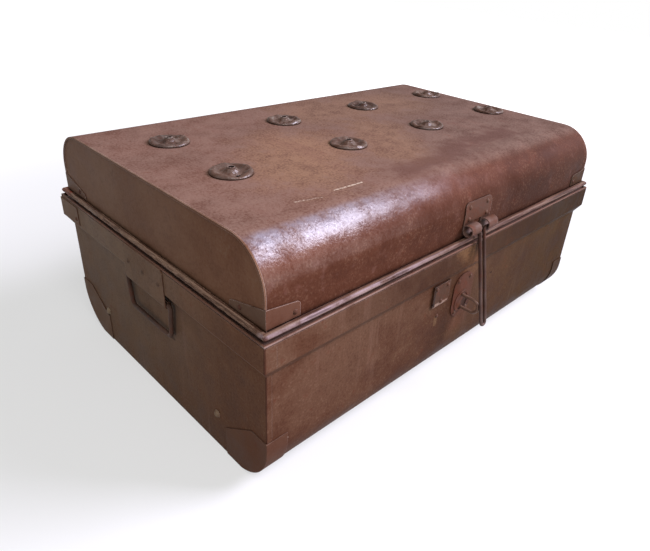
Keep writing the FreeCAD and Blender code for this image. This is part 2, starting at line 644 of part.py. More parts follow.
def build_lid_end(name, side):
    """A flat end with the skin's edge folded over it as a raised seam."""
    body = new_body(f"lid_end_{name}")
    sketch = new_sketch(body, "end_outline", "YZ_Plane", f"{side} * ({LID_X} - sheet_thick)")
    outline(sketch, lid_profile("0", LID_LOW))
    pad(body, "end_sheet", sketch, "sheet_thick", backwards=side < 0)
    seam_low = f"({PLATE_Z} + lid_plate_height + seat_gap)"
    fold = new_sketch(body, "seam_outline", "YZ_Plane", f"{side} * {LID_X}")
    outline(fold, lid_profile("0", seam_low) + reversed_profile(lid_profile("seam_width", seam_low)))
    pad(body, "seam", fold, "seam_thick", backwards=side < 0)
    holes = [(f"{face} * ({LID_Y} - lid_plate_width + lid_rivet_inset)", LID_PLATE_RIVET_Z)
             for where, face in FACES]
    drill(body, "plate_holes", "YZ_Plane", LID_X, side, holes)


def build_boss(label, x, y):
    """A pressed boss: a raised ring, a shallow valley and a domed middle for its rivet."""
    body = new_body(label)
    section = new_sketch(body, "boss_section", "XZ_Plane")
    ring = "(boss_radius - boss_round)"
    top = [(ring, "boss_edge"), ("boss_ring_radius", "boss_edge"),
           ("boss_valley_radius", "boss_valley"), ("boss_slope_radius", "boss_slope"),
           ("boss_crown_radius", "boss_crown"), ("boss_seat_radius", "boss_height"),
           (RIVET_HOLE, "boss_height")]
    under = [(radius, f"({height} - boss_sheet)") for radius, height in reversed(top)]
    bend = (ring, "(boss_edge - boss_round)", "boss_round", 1)
    outline(section, [("(boss_radius - boss_sheet)", "0"), ("boss_radius", "0"),
                      ("boss_radius", "(boss_edge - boss_round)"), (*top[0], bend)] + top[1:] + under)
    turned = body.newObject("PartDesign::Revolution", "boss")
    turned.Profile = section
    turned.ReferenceAxis = (section, ["V_Axis"])
    turned.Angle = 360
    place(body, x, y, f"({LID_TOP} + seat_gap)")


# ---------------------------------------------------------------- corner plates and guards
LID_PLATE_RIVET_Z = f"({PLATE_Z} + lid_rivet_rise)"
LID_PLATE_LEGS = ("lid_plate_length", "lid_plate_width")
LID_PLATE_INSETS = ("plate_rivet_inset", "lid_rivet_inset")
BAND_PLATE_LEGS = ("band_plate_length", "band_plate_width")
BAND_PLATE_INSETS = ("plate_rivet_inset", "plate_rivet_inset")
BAND_PLATE_Z = f"({SHOULDER_Z} - band_plate_drop - band_plate_height)"
BAND_PLATE_RIVET_Z = f"({BAND_PLATE_Z} + band_plate_height / 3)"


def angle_plate(label, side, face, faces, legs, insets, low, height, rivet_z):
    """A bent plate round an upright corner: faces are the two walls' distances, legs its lengths."""
    body = new_body(label)
    near = [f"({wall} + seat_gap)" for wall in faces]
    far = [f"({wall} + plate_thick)" for wall in near]
    free = [f"({wall} - {leg})" for wall, leg in zip(faces, legs)]
    sketch = new_sketch(body, "plate_outline", "XY_Plane", low)
    corners = [(near[0], near[1]), (free[0], near[1]), (free[0], far[1]),
               (far[0], far[1]), (far[0], free[1]), (near[0], free[1])]
    outline(sketch, [(f"{side} * {x}", f"{face} * {y}") for x, y in corners])
    pad(body, "plate", sketch, height)
    drill(body, "long_hole", "XZ_Plane", near[1], face,
          [(f"{side} * ({free[0]} + {insets[0]})", rivet_z)])
    drill(body, "end_hole", "YZ_Plane", near[0], side,
          [(f"{face} * ({free[1]} + {insets[1]})", rivet_z)])
    return body


def build_lid_plate(label, side, face):
    """A corner plate of the lid: both legs fall away from the corner to a rounded tip."""
    body = angle_plate(label, side, face, (LID_X, LID_Y), LID_PLATE_LEGS, LID_PLATE_INSETS,
                       PLATE_Z, "lid_plate_height", LID_PLATE_RIVET_Z)
    top = f"({PLATE_Z} + lid_plate_height)"
    legs = (("long", "XZ_Plane", LID_X, LID_Y, LID_PLATE_LEGS[0], side, face, "lid_plate_front"),
            ("end", "YZ_Plane", LID_Y, LID_X, LID_PLATE_LEGS[1], face, side, "lid_plate_end"))
    for name, plane, across, wall, leg, way, facing, tip_height in legs:
        tip = f"({PLATE_Z} + {tip_height})"
        free = f"({across} - {leg})"
        sketch, backwards = outside_sketch(body, f"{name}_slope", plane, wall, facing)
        outline(sketch, [(f"{way} * ({across} + seat_gap + plate_thick)", top), (f"{way} * {free}", tip),
                         (f"{way} * ({free} - plate_thick)", tip),
                         (f"{way} * ({free} - plate_thick)", f"({top} + plate_thick)"),
                         (f"{way} * ({across} + seat_gap + plate_thick)", f"({top} + plate_thick)")])
        pocket(body, f"{name}_slope", sketch, DRILL_START, backwards=backwards)
        round_edges(body, "plate_thick", tip, "lid_plate_round")


def build_guard(label, side, face):
    """A guard on a bottom corner: a plate on the end panel and a lip round the wrap's bend."""
    body = new_body(label)
    inner = f"({WALL_Y} + seat_gap)"
    outer = f"({WALL_Y} + seat_gap + plate_thick)"
    inner_radius = "(bottom_radius + seat_gap)"
    outer_radius = "(bottom_radius + seat_gap + plate_thick)"
    dip = "(bottom_radius - guard_floor)"
    foot_inner = f"({BEND_Y} + sqrt({inner_radius}^2 - {dip}^2))"
    foot_outer = f"({BEND_Y} + sqrt({outer_radius}^2 - {dip}^2))"
    start = f"{side} * ({WALL_X} + seat_gap)"

    plate = new_sketch(body, "plate_outline", "YZ_Plane", start)
    outline(plate, turned_section([
        (f"({WALL_Y} - guard_width)", "guard_floor"),
        (foot_outer, "guard_floor"),
        (outer, "bottom_radius", (BEND_Y, "bottom_radius", outer_radius, 1)),
        (outer, "guard_high"),
        (f"({WALL_Y} - guard_shoulder)", "guard_high"),
        (f"({WALL_Y} - guard_width)", "guard_low")], face))
    pad(body, "plate", plate, "plate_thick", backwards=side < 0)
    lip = new_sketch(body, "lip_outline", "YZ_Plane", start)
    outline(lip, turned_section([
        (foot_inner, "guard_floor", (BEND_Y, "bottom_radius", inner_radius, -1)),
        (foot_outer, "guard_floor"),
        (outer, "bottom_radius", (BEND_Y, "bottom_radius", outer_radius, 1)),
        (outer, "guard_high"),
        (inner, "guard_high"),
        (inner, "bottom_radius")], face))
    pad(body, "lip", lip, "guard_length", backwards=side > 0)


# ---------------------------------------------------------------- hasp
def turned_section(corners, side):
    """Corners given as (distance out, height) laid down on one side of the trunk."""
    laid = []
    for corner in corners:
        bend = corner[2:]
        if bend:
            out, height, radius, turn = bend[0]
            bend = ((f"{side} * {out}", height, radius, side * turn),)
        laid.append((f"{side} * {corner[0]}", corner[1], *bend))
    return laid


def round_edges(body, length, level, rounding):
    """Round the edges of one length whose middles lie at one height."""
    doc.recompute()
    solid = body.Tip
    names = [f"Edge{index}" for index, edge in enumerate(solid.Shape.Edges, start=1)
             if abs(edge.Length - number(length)) < SAME
             and abs(edge.CenterOfMass.z - number(level)) < SAME]
    feature = body.newObject("PartDesign::Fillet", "rounding")
    feature.Base = (solid, names)
    feature.setExpression("Radius", cell(rounding))


def build_hasp_plate():
    """A strap over the lid's front, its lower edge curled into two knuckles."""
    body = new_body("hasp_plate")
    section = new_sketch(body, "strap_section", "YZ_Plane", "hasp_x")
    back = "(lid_radius + seat_gap)"
    face = "(lid_radius + seat_gap + hasp_thick)"
    tip = ["(180 + hasp_curl)", HASP_KNUCKLE_Y, HASP_KNUCKLE_Z]
    tips = [(f"({tip[1]} + {radius} * cos({tip[0]}))", f"({tip[2]} + {radius} * sin({tip[0]}))")
            for radius in (HASP_BORE, "hasp_knuckle")]
    ends = [(f"({CROWN_Y} + {radius} * cos(hasp_wrap))", f"({LID_SPRING} + {radius} * sin(hasp_wrap))")
            for radius in (back, face)]
    outline(section, turned_section([
        (HASP_Y, HASP_KNUCKLE_Z, (HASP_KNUCKLE_Y, HASP_KNUCKLE_Z, "hasp_knuckle", -1)),
        (HASP_Y, LID_SPRING),
        (*ends[0], (CROWN_Y, LID_SPRING, back, 1)),
        ends[1],
        (f"({HASP_Y} + hasp_thick)", LID_SPRING, (CROWN_Y, LID_SPRING, face, -1)),
        (f"({HASP_Y} + hasp_thick)", HASP_KNUCKLE_Z),
        (*tips[0], (HASP_KNUCKLE_Y, HASP_KNUCKLE_Z, HASP_BORE, 1)),
        tips[1]], -1))
    pad(body, "strap", section, "hasp_width", both_ways=True)
    slot = new_sketch(body, "slot_outline", "XZ_Plane", HASP_Y)
    rectangle(slot, (f"(hasp_x - {LOOP_SLOT})", f"({HASP_KNUCKLE_Z} - 2 * hasp_knuckle)"),
              (f"(hasp_x + {LOOP_SLOT})", f"({HASP_KNUCKLE_Z} + hasp_knuckle + run_gap)"))
    pocket(body, "slot", slot, "3 * hasp_knuckle", backwards=True)
    drill(body, "rivet_holes", "XZ_Plane", HASP_Y, -1, hasp_rivets(HASP_RIVET_Z))
    drill(body, "curve_holes", "XZ_Plane", HASP_Y, -1, hasp_rivets(HASP_CURVE_Z), HASP_HOLE)
    middle = "(lid_radius + seat_gap + hasp_thick / 2)"
    round_edges(body, "hasp_thick", f"({LID_SPRING} + {middle} * sin(hasp_wrap))", "hasp_round")


def build_hasp_loop():
    """A bent rod: two legs joined below, their upper ends turned out into the knuckles."""
    body = new_body("hasp_loop")
    path = new_sketch(body, "rod_path", "XZ_Plane")
    outline(path, [
        ("-loop_pintle", "0"),
        (f"-{LOOP_SLOT}", "0"),
        ("-loop_half", "-loop_bend", (f"-{LOOP_SLOT}", "-loop_bend", "loop_bend", -1)),
        ("-loop_half", "-loop_length"),
        ("0", "-(loop_length + loop_half)", ("0", "-loop_length", "loop_half", 1)),
        ("loop_half", "-loop_length", ("0", "-loop_length", "loop_half", 1)),
        ("loop_half", "-loop_bend"),
        (LOOP_SLOT, "0", (LOOP_SLOT, "-loop_bend", "loop_bend", -1)),
        ("loop_pintle", "0")], closed=False)
    section = new_sketch(body, "rod_section", "YZ_Plane", "-loop_pintle")
    circles(section, [("0", "0")], "loop_rod")
    pipe(body, "rod", section, path)
    body.Placement = FreeCAD.Placement(FreeCAD.Vector(), FreeCAD.Rotation(FreeCAD.Vector(-1, 0, 0), 1))
    body.setExpression("Placement.Rotation.Angle", cell(LOOP_LEAN))
    place(body, "hasp_x", f"-{LOOP_Y}", LOOP_Z)


HASP_RIVET_Z = f"({HASP_KNUCKLE_Z} + hasp_rivet_low)"
HASP_CURVE_Z = f"({LID_SPRING} + lid_radius * sin(hasp_rivet_turn))"
HASP_HOLE = "(rivet_shank + hasp_rivet_ease)"
HASP_GRIP = "(hasp_thick + seat_gap + sheet_thick)"


def hasp_rivets(height):
    return [(f"(hasp_x + {side} * hasp_rivet_x)", height) for name, side in SIDES]


def hasp_rivet_seats():
    outer = "(lid_radius + seat_gap + hasp_thick)"
    turn = number("hasp_rivet_turn")
    slant = (0, -math.cos(math.radians(turn)), math.sin(math.radians(turn)))
    seats = []
    for x, height in hasp_rivets(HASP_RIVET_Z):
        seats.append((x, f"-({HASP_Y} + hasp_thick)", height, (0, -1, 0), HASP_GRIP))
        seats.append((x, f"-({CROWN_Y} + {outer} * cos(hasp_rivet_turn))",
                      f"({LID_SPRING} + {outer} * sin(hasp_rivet_turn))", slant,
                      f"({HASP_GRIP} + seat_gap)"))
    return seats


# ---------------------------------------------------------------- staple and lock plate
STAPLE_HOLE = "(staple_rod + seat_gap)"


def staple_legs():
    return [(STAPLE_X, f"(staple_z {sign} staple_half)") for sign in "+-"]


def staple_rivets():
    rows = ("(staple_plate_low + staple_rivet_inset)", "(staple_plate_high - staple_rivet_inset)")
    return [(f"({STAPLE_X} + {side} * staple_rivet_x)", row) for name, side in SIDES for row in rows]


def build_staple_plate():
    """A long plate with rounded corners under the hasp, a ring pressed out round the staple."""
    body = new_body("staple_plate")
    sketch = new_sketch(body, "plate_outline", "XZ_Plane", f"({WALL_Y} + seat_gap)")
    x = [f"({STAPLE_X} {sign} staple_plate_width / 2)" for sign in "-+"]
    z = ["staple_plate_low", "staple_plate_high"]
    inner_x = [f"({x[0]} + staple_plate_round)", f"({x[1]} - staple_plate_round)"]
    inner_z = [f"({z[0]} + staple_plate_round)", f"({z[1]} - staple_plate_round)"]
    outline(sketch, [
        (inner_x[0], z[0], (inner_x[0], inner_z[0], "staple_plate_round", 1)),
        (inner_x[1], z[0]),
        (x[1], inner_z[0], (inner_x[1], inner_z[0], "staple_plate_round", 1)),
        (x[1], inner_z[1]),
        (inner_x[1], z[1], (inner_x[1], inner_z[1], "staple_plate_round", 1)),
        (inner_x[0], z[1]),
        (x[0], inner_z[1], (inner_x[0], inner_z[1], "staple_plate_round", 1)),
        (x[0], inner_z[0])])
    pad(body, "plate", sketch, "staple_plate_thick")
    ring = new_sketch(body, "ring_outline", "XZ_Plane", f"({WALL_Y} + seat_gap + staple_plate_thick)")
    circles(ring, [(STAPLE_X, "staple_z")], "staple_ring_outer")
    circles(ring, [(STAPLE_X, "staple_z")], "staple_ring_inner")
    pad(body, "ring", ring, "staple_ring_rise")
    drill(body, "rivet_holes", "XZ_Plane", WALL_Y, -1, staple_rivets())
    drill(body, "leg_holes", "XZ_Plane", WALL_Y, -1, staple_legs(), STAPLE_HOLE)


def build_staple_eye():
    """A rod bent to a D, both its legs passing through the plate and the wall."""
    body = new_body("staple_eye")
    inner = f"({WALL_Y} - sheet_thick - staple_tail)"
    path = new_sketch(body, "rod_path", "YZ_Plane", STAPLE_X)
    outline(path, [
        (f"-{inner}", "(staple_z + staple_half)"),
        (f"-{NOSE_Y}", "(staple_z + staple_half)"),
        (f"-({NOSE_Y} + staple_half)", "staple_z", (f"-{NOSE_Y}", "staple_z", "staple_half", 1)),
        (f"-{NOSE_Y}", "(staple_z - staple_half)", (f"-{NOSE_Y}", "staple_z", "staple_half", 1)),
        (f"-{inner}", "(staple_z - staple_half)")], closed=False)
    section = new_sketch(body, "rod_section", "XZ_Plane", inner)
    circles(section, staple_legs()[:1], "staple_rod")
    pipe(body, "rod", section, path)


def lock_rivets():
    top = "(lock_plate_high - lock_rivet_inset)"
    holes = [(f"(lock_plate_x + {side} * lock_rivet_x)", top) for name, side in SIDES]
    return holes + [("lock_plate_x", "(lock_plate_low + lock_rivet_inset)")]


def lock_stud():
    return [("lock_plate_x", "lock_stud_z")]


def build_lock_plate():
    """The lock's cover: a shallow tray turned towards the wall."""
    body = new_body("lock_plate")
    for name, inset in (("plate", "0"), ("hollow", "lock_plate_sheet")):
        sketch = new_sketch(body, f"{name}_outline", "XZ_Plane", f"({WALL_Y} + seat_gap)")
        half = f"(lock_plate_width / 2 - {inset})"
        rectangle(sketch, (f"(lock_plate_x - {half})", f"(lock_plate_low + {inset})"),
                  (f"(lock_plate_x + {half})", f"(lock_plate_high - {inset})"))
        if name == "plate":
            pad(body, name, sketch, "lock_plate_thick")
        else:
            pocket(body, name, sketch, "(lock_plate_thick - lock_plate_sheet)", backwards=True)
    drill(body, "rivet_holes", "XZ_Plane", WALL_Y, -1, lock_rivets())


# ---------------------------------------------------------------- drop handles
def handle_rivets():
    return [(y, "handle_rivet_z") for y in ("-handle_rivet_y", "0", "handle_rivet_y")]


def build_handle_plate(name, side):
    """A plate on the end of the band, its lower edge curled back to hold the bail."""
    body = new_body(f"handle_plate_{name}")
    section = new_sketch(body, "plate_section", "XZ_Plane")
    bore = "(bail_rod + bail_play)"
    top = f"({BAND_TOP} - handle_top)"
    outline(section, turned_section([
        (HANDLE_FACE, top),
        (HANDLE_FACE, "handle_z"),
        (BAIL_X, f"(handle_z + {HANDLE_KNUCKLE})", (BAIL_X, "handle_z", HANDLE_KNUCKLE, -1)),
        (BAIL_X, f"(handle_z + {bore})"),
        (f"({HANDLE_FACE} - handle_thick)", "handle_z", (BAIL_X, "handle_z", bore, 1)),
        (f"({HANDLE_FACE} - handle_thick)", top)], side))
    pad(body, "plate", section, "handle_width", both_ways=True)
    drill(body, "rivet_holes", "YZ_Plane", HALF_X, side, handle_rivets())
    round_edges(body, "handle_thick", top, "handle_round")


def build_bail(name, side):
    """A bent rod hanging from the handle plate's knuckle."""
    body = new_body(f"bail_{name}")
    path = new_sketch(body, "rod_path", "YZ_Plane")
    pintle = f"({BAIL_HALF} - bail_pintle)"
    grip = f"({BAIL_HALF} - bail_taper)"
    rounded_path(path, [(f"-{pintle}", "0"), (f"-{BAIL_HALF}", "0"), (f"-{grip}", "-bail_drop"),
                        (grip, "-bail_drop"), (BAIL_HALF, "0"), (pintle, "0")],
                 ["bail_shoulder", "bail_bend", "bail_bend", "bail_shoulder"])
    section = new_sketch(body, "rod_section", "XZ_Plane", pintle)
    circles(section, [("0", "0")], "bail_rod")
    pipe(body, "rod", section, path)
    place(body, f"{side} * {BAIL_X}", "0", "handle_z")


# ---------------------------------------------------------------- hinges
def hinge_rivets(height):
    return [(f"({side} * hinge_x + {offset} * hinge_rivet_x)", height)
            for name, side in SIDES for offset in (-1, 1)]


def build_box_strap(name, side):
    """The box's half of a hinge: a strap on the band curled into the two outer knuckles."""
    body = new_body(f"hinge_strap_body_{name}")
    middle = f"{side} * hinge_x"
    section = new_sketch(body, "strap_section", "YZ_Plane", middle)
    outline(section, [
        (HINGE_Y, "hinge_low"),
        (HINGE_Y, HINGE_AXIS_Z),
        (HINGE_AXIS_Y, f"({HINGE_AXIS_Z} - {HINGE_KNUCKLE})",
         (HINGE_AXIS_Y, HINGE_AXIS_Z, HINGE_KNUCKLE, -1)),
        (HINGE_AXIS_Y, f"({HINGE_AXIS_Z} - {HINGE_BORE})"),
        (f"({HINGE_Y} + hinge_thick)", HINGE_AXIS_Z, (HINGE_AXIS_Y, HINGE_AXIS_Z, HINGE_BORE, 1)),
        (f"({HINGE_Y} + hinge_thick)", "hinge_low")])
    pad(body, "strap", section, "hinge_width", both_ways=True)
    gap = new_sketch(body, "middle_gap", "YZ_Plane", middle)
    rectangle(gap, (f"({HINGE_Y} - run_gap)", f"({HINGE_AXIS_Z} - {HINGE_KNUCKLE} - run_gap)"),
              (f"({HINGE_AXIS_Y} + 2 * {HINGE_KNUCKLE})", f"({HINGE_AXIS_Z} + 2 * {HINGE_KNUCKLE})"))
    pocket(body, "middle", gap, "(hinge_middle + 2 * run_gap)", both_ways=True)
    drill(body, "rivet_holes", "XZ_Plane", HALF_Y, 1, own_side(hinge_rivets("hinge_rivet_low"), side))
    round_edges(body, "hinge_thick", "hinge_low", "hinge_round")


def own_side(places, side):
    return [place for place in places if number(place[0]) * side > 0]


def build_lid_strap(name, side):
    """The lid's half of a hinge: a strap cranked over the bead, with the middle knuckle."""
    body = new_body(f"hinge_strap_lid_{name}")
    middle = f"{side} * hinge_x"
    section = new_sketch(body, "strap_section", "YZ_Plane", middle)
    slope_top = f"({HINGE_BEND_Z} + hinge_slope)"
    outline(section, [
        (HINGE_LID_Y, "hinge_high"),
        (HINGE_LID_Y, slope_top),
        (HINGE_Y, HINGE_BEND_Z),
        (HINGE_Y, HINGE_AXIS_Z),
        (HINGE_AXIS_Y, f"({HINGE_AXIS_Z} + {HINGE_KNUCKLE})",
         (HINGE_AXIS_Y, HINGE_AXIS_Z, HINGE_KNUCKLE, 1)),
        (HINGE_AXIS_Y, f"({HINGE_AXIS_Z} + {HINGE_BORE})"),
        (f"({HINGE_Y} + hinge_thick)", HINGE_AXIS_Z, (HINGE_AXIS_Y, HINGE_AXIS_Z, HINGE_BORE, -1)),
        (f"({HINGE_Y} + hinge_thick)", f"({HINGE_BEND_Z} + {HINGE_MITRE})"),
        (f"({HINGE_LID_Y} + hinge_thick)", f"({slope_top} + {HINGE_MITRE})"),
        (f"({HINGE_LID_Y} + hinge_thick)", "hinge_high")])
    pad(body, "strap", section, "hinge_width", both_ways=True)
    for where, way in SIDES:
        inner = f"{middle} + {way} * hinge_middle / 2"
        gap = new_sketch(body, f"{where}_gap", "YZ_Plane", inner)
        rectangle(gap, (f"({HINGE_Y} - run_gap)", f"({HINGE_AXIS_Z} - 2 * {HINGE_KNUCKLE})"),
                  (f"({HINGE_AXIS_Y} + 2 * {HINGE_KNUCKLE})",
                   f"({HINGE_AXIS_Z} + {HINGE_KNUCKLE} + run_gap)"))
        pocket(body, f"{where}_end", gap, "hinge_width", backwards=way > 0)
    drill(body, "rivet_holes", "XZ_Plane", LID_Y, 1, own_side(hinge_rivets("hinge_rivet_high"), side))
    round_edges(body, "hinge_thick", "hinge_high", "hinge_round")


def build_hinge_pin(name, side):
    """A pin through the three knuckles with a head at each end."""
    body = new_body(f"hinge_pin_{name}")
    section = new_sketch(body, "pin_section", "XZ_Plane")
    reach = "(hinge_width / 2 + seat_gap)"
    tip = f"({reach} + pin_head_thick)"
    outline(section, [(f"-{tip}", "0"), (tip, "0"), (tip, "pin_head"), (reach, "pin_head"),
                      (reach, "hinge_pin"), (f"-{reach}", "hinge_pin"), (f"-{reach}", "pin_head"),
                      (f"-{tip}", "pin_head")])
    turned = body.newObject("PartDesign::Revolution", "pin")
    turned.Profile = section
    turned.ReferenceAxis = (section, ["H_Axis"])
    turned.Angle = 360
    place(body, f"{side} * hinge_x", HINGE_AXIS_Y, HINGE_AXIS_Z)


# ---------------------------------------------------------------- rivets


def end_rivets():
    height = "(guard_low + end_rivet_rise)"
    return [(f"({WALL_Y} - guard_width + end_rivet_rear)", height),
            (f"(guard_width + end_rivet_front - {WALL_Y})", height)]


def grip_of(plate):
    return f"({plate} + seat_gap + sheet_thick)"


def build_rivets():
    grip = grip_of("plate_thick")
    rivet_group("end_panel_rivets", [
        (f"{side} * {WALL_X}", y, z, (side, 0, 0), "sheet_thick")
        for name, side in SIDES for y, z in end_rivets()], "end_rivet_head", "end_rivet_dome")
    rivet_group("handle_rivets", [
        (f"{side} * {HANDLE_FACE}", y, z, (side, 0, 0), grip_of("handle_thick"))
        for name, side in SIDES for y, z in handle_rivets()])
    rivet_group("staple_rivets", [
        (x, f"-({WALL_Y} + seat_gap + staple_plate_thick)", z, (0, -1, 0), grip_of("staple_plate_thick"))
        for x, z in staple_rivets()])
    rivet_group("lock_rivets", [
        (x, f"-({WALL_Y} + seat_gap + lock_plate_thick)", z, (0, -1, 0), grip_of("lock_plate_thick"))
        for x, z in lock_rivets()] + [
        (x, f"-{WALL_Y}", z, (0, -1, 0), "sheet_thick") for x, z in lock_stud()])
    rivet_group("hinge_rivets_body", [
        (x, f"({HINGE_Y} + hinge_thick)", z, (0, 1, 0), grip_of("hinge_thick"))
        for x, z in hinge_rivets("hinge_rivet_low")])
    rivet_group("hinge_rivets_lid", [
        (x, f"({HINGE_LID_Y} + hinge_thick)", z, (0, 1, 0), grip_of("hinge_thick"))
        for x, z in hinge_rivets("hinge_rivet_high")])
    rivet_group("hasp_rivets", hasp_rivet_seats())
    rivet_group("boss_rivets", [
        (x, y, f"({LID_TOP} + seat_gap + boss_height)", (0, 0, 1), grip_of("boss_height"))
        for x, y in boss_centres()], "boss_rivet_head", "boss_rivet_dome", "boss_rivet_hole")
    rivet_group("band_corner_rivets", corner_seats(
        (HALF_X, HALF_Y), BAND_PLATE_LEGS, BAND_PLATE_INSETS, BAND_PLATE_RIVET_Z, grip, [1]))
    rivet_group("lid_corner_rivets", corner_seats(
        (LID_X, LID_Y), LID_PLATE_LEGS, LID_PLATE_INSETS, LID_PLATE_RIVET_Z, grip, [-1, 1]))


def corner_seats(walls, legs, insets, height, grip, faces):
    """Two rivets for each corner plate, one near the free end of each leg."""
    seats = []
    for name, side in SIDES:
        for face in faces:
            free = [f"({wall} - {leg} + {inset})" for wall, leg, inset in zip(walls, legs, insets)]
            outer = [f"({wall} + seat_gap + plate_thick)" for wall in walls]
            seats.append((f"{side} * {free[0]}", f"{face} * {outer[1]}", height, (0, face, 0), grip))
            seats.append((f"{side} * {outer[0]}", f"{face} * {free[1]}", height, (side, 0, 0), grip))
    return seats


# ---------------------------------------------------------------- the whole trunk
build_wrap()
build_neck()
ring_wire("rim_wire", f"({HALF_X} - rim_radius)", f"({HALF_Y} - rim_radius)",
          f"({BAND_TOP} - rim_radius)", "rim_radius")
build_lid_skin()
ring_wire("lid_bead", f"({LID_X} + seat_gap + bead_radius)", f"({LID_Y} + seat_gap + bead_radius)",
          BEAD_Z, "bead_radius")
for side_name, side_sign in SIDES:
    build_end(side_name, side_sign)
    build_lid_end(side_name, side_sign)
    build_handle_plate(side_name, side_sign)
    build_bail(side_name, side_sign)
    build_box_strap(side_name, side_sign)
    build_lid_strap(side_name, side_sign)
    build_hinge_pin(side_name, side_sign)
    angle_plate(f"band_corner_plate_{side_name}", side_sign, 1, (HALF_X, HALF_Y),
                BAND_PLATE_LEGS, BAND_PLATE_INSETS, BAND_PLATE_Z, "band_plate_height",
                BAND_PLATE_RIVET_Z)
    for face_name, face_sign in FACES:
        build_guard(f"corner_guard_{face_name}_{side_name}", side_sign, face_sign)
        build_lid_plate(f"lid_corner_plate_{face_name}_{side_name}", side_sign, face_sign)
for row_name, row_y in BOSS_ROWS:
    for column_number, column_x in enumerate(BOSS_COLUMNS, start=1):
        build_boss(f"lid_boss_{row_name}_{column_number}", column_x, row_y)
build_hasp_plate()
build_hasp_loop()
build_staple_plate()
build_staple_eye()
build_lock_plate()
build_rivets()

doc.recompute()
for item in doc.Objects:
    if "Invalid" in item.State or "Error" in item.State:
        raise RuntimeError(f"{item.Label} did not build")
for node in NODES:
    if node.Shape.isNull() or not node.Shape.isValid():
        raise RuntimeError(f"{node.Label} has no sound shape")
os.makedirs("parts", exist_ok=True)
for node in NODES:
    node.Shape.exportStep(f"parts/{node.Label}.step")
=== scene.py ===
"""Looks for the steel trunk: camera, light, floor, procedural finishes and the dented pieces."""
import json
import math
import random

import bpy
from mathutils import Matrix, Vector


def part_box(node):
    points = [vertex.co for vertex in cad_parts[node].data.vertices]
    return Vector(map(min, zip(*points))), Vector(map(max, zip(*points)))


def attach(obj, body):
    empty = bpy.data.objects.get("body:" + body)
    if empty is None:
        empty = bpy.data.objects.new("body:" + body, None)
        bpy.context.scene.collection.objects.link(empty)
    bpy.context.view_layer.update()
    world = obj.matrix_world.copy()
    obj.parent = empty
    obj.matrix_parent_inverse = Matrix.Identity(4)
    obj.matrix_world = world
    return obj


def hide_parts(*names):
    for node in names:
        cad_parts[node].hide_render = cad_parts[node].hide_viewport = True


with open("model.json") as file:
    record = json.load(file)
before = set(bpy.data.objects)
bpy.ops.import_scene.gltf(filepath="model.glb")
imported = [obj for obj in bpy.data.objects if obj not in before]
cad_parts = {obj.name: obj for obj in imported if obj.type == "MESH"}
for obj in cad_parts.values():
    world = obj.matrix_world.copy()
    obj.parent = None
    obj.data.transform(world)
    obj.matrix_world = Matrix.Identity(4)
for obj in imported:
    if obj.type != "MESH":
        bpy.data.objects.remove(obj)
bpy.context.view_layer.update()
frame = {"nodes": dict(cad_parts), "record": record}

NODES = frame["nodes"]
MILLIMETRE = 0.001


# ---------------------------------------------------------------- camera
# The view was solved from straight edges of the box in the photo. Focal length and principal point
# are in the photo's pixels, the sensor's width is in millimetres.
PHOTO_WIDTH, PHOTO_HEIGHT = 650, 551
FOCAL_PIXELS = 564.28
PRINCIPAL_PIXEL = (345.74, 266.30)
CAMERA_PLACE = Vector((-0.66355, -0.62976, 0.59358))
CAMERA_HEADING = math.radians(46.864)
CAMERA_DROP = math.radians(29.181)
CAMERA_ROLL = math.radians(4.027)
SENSOR = 36.0


def make_camera():
    look = Vector((math.sin(CAMERA_HEADING) * math.cos(CAMERA_DROP),
                   math.cos(CAMERA_HEADING) * math.cos(CAMERA_DROP),
                   -math.sin(CAMERA_DROP)))
    level = Vector((math.cos(CAMERA_HEADING), -math.sin(CAMERA_HEADING), 0))
    upright = level.cross(look)
    right = math.cos(CAMERA_ROLL) * level + math.sin(CAMERA_ROLL) * upright
    up = -math.sin(CAMERA_ROLL) * level + math.cos(CAMERA_ROLL) * upright
    data = bpy.data.cameras.new("camera")
    data.sensor_width = SENSOR
    data.lens = FOCAL_PIXELS * SENSOR / PHOTO_WIDTH
    data.shift_x = (PHOTO_WIDTH / 2 - PRINCIPAL_PIXEL[0]) / PHOTO_WIDTH
    data.shift_y = (PRINCIPAL_PIXEL[1] - PHOTO_HEIGHT / 2) / PHOTO_WIDTH
    camera = bpy.data.objects.new("camera", data)
    turn = Matrix((right, up, -look)).transposed().to_4x4()
    camera.matrix_world = Matrix.Translation(CAMERA_PLACE) @ turn
    bpy.context.scene.collection.objects.link(camera)
    bpy.context.scene.camera = camera


# ---------------------------------------------------------------- node tools
def linear(red, green, blue):
    """An sRGB colour of 0 to 255 as linear light."""
    def channel(value):
        value /= 255
        return value / 12.92 if value <= 0.04045 else ((value + 0.055) / 1.055) ** 2.4
    return (channel(red), channel(green), channel(blue), 1.0)


def put(tree, kind, inputs=None, **settings):
    """A node of one kind with its settings; each input is a value or another node's socket."""
    node = tree.nodes.new(kind)
    for name, value in settings.items():
        setattr(node, name, value)
    for name, value in (inputs or {}).items():
        if isinstance(value, bpy.types.NodeSocket):
            tree.links.new(value, node.inputs[name])
        else:
            node.inputs[name].default_value = value
    return node


def maths(tree, operation, first, second=0.0, clamp=False):
    node = put(tree, "ShaderNodeMath", {0: first, 1: second}, operation=operation, use_clamp=clamp)
    return node.outputs[0]


def times(tree, *values):
    """The product of two or more values."""
    product = values[0]
    for value in values[1:]:
        product = maths(tree, "MULTIPLY", product, value)
    return product


def inverse(tree, value):
    """1 where the value is 0, and 0 where it is 1."""
    return maths(tree, "SUBTRACT", 1.0, value)


def blend(tree, first, second, share):
    """A weighted sum of two values: share of the first, the rest of the second."""
    return maths(tree, "ADD", times(tree, first, share), times(tree, second, 1 - share))


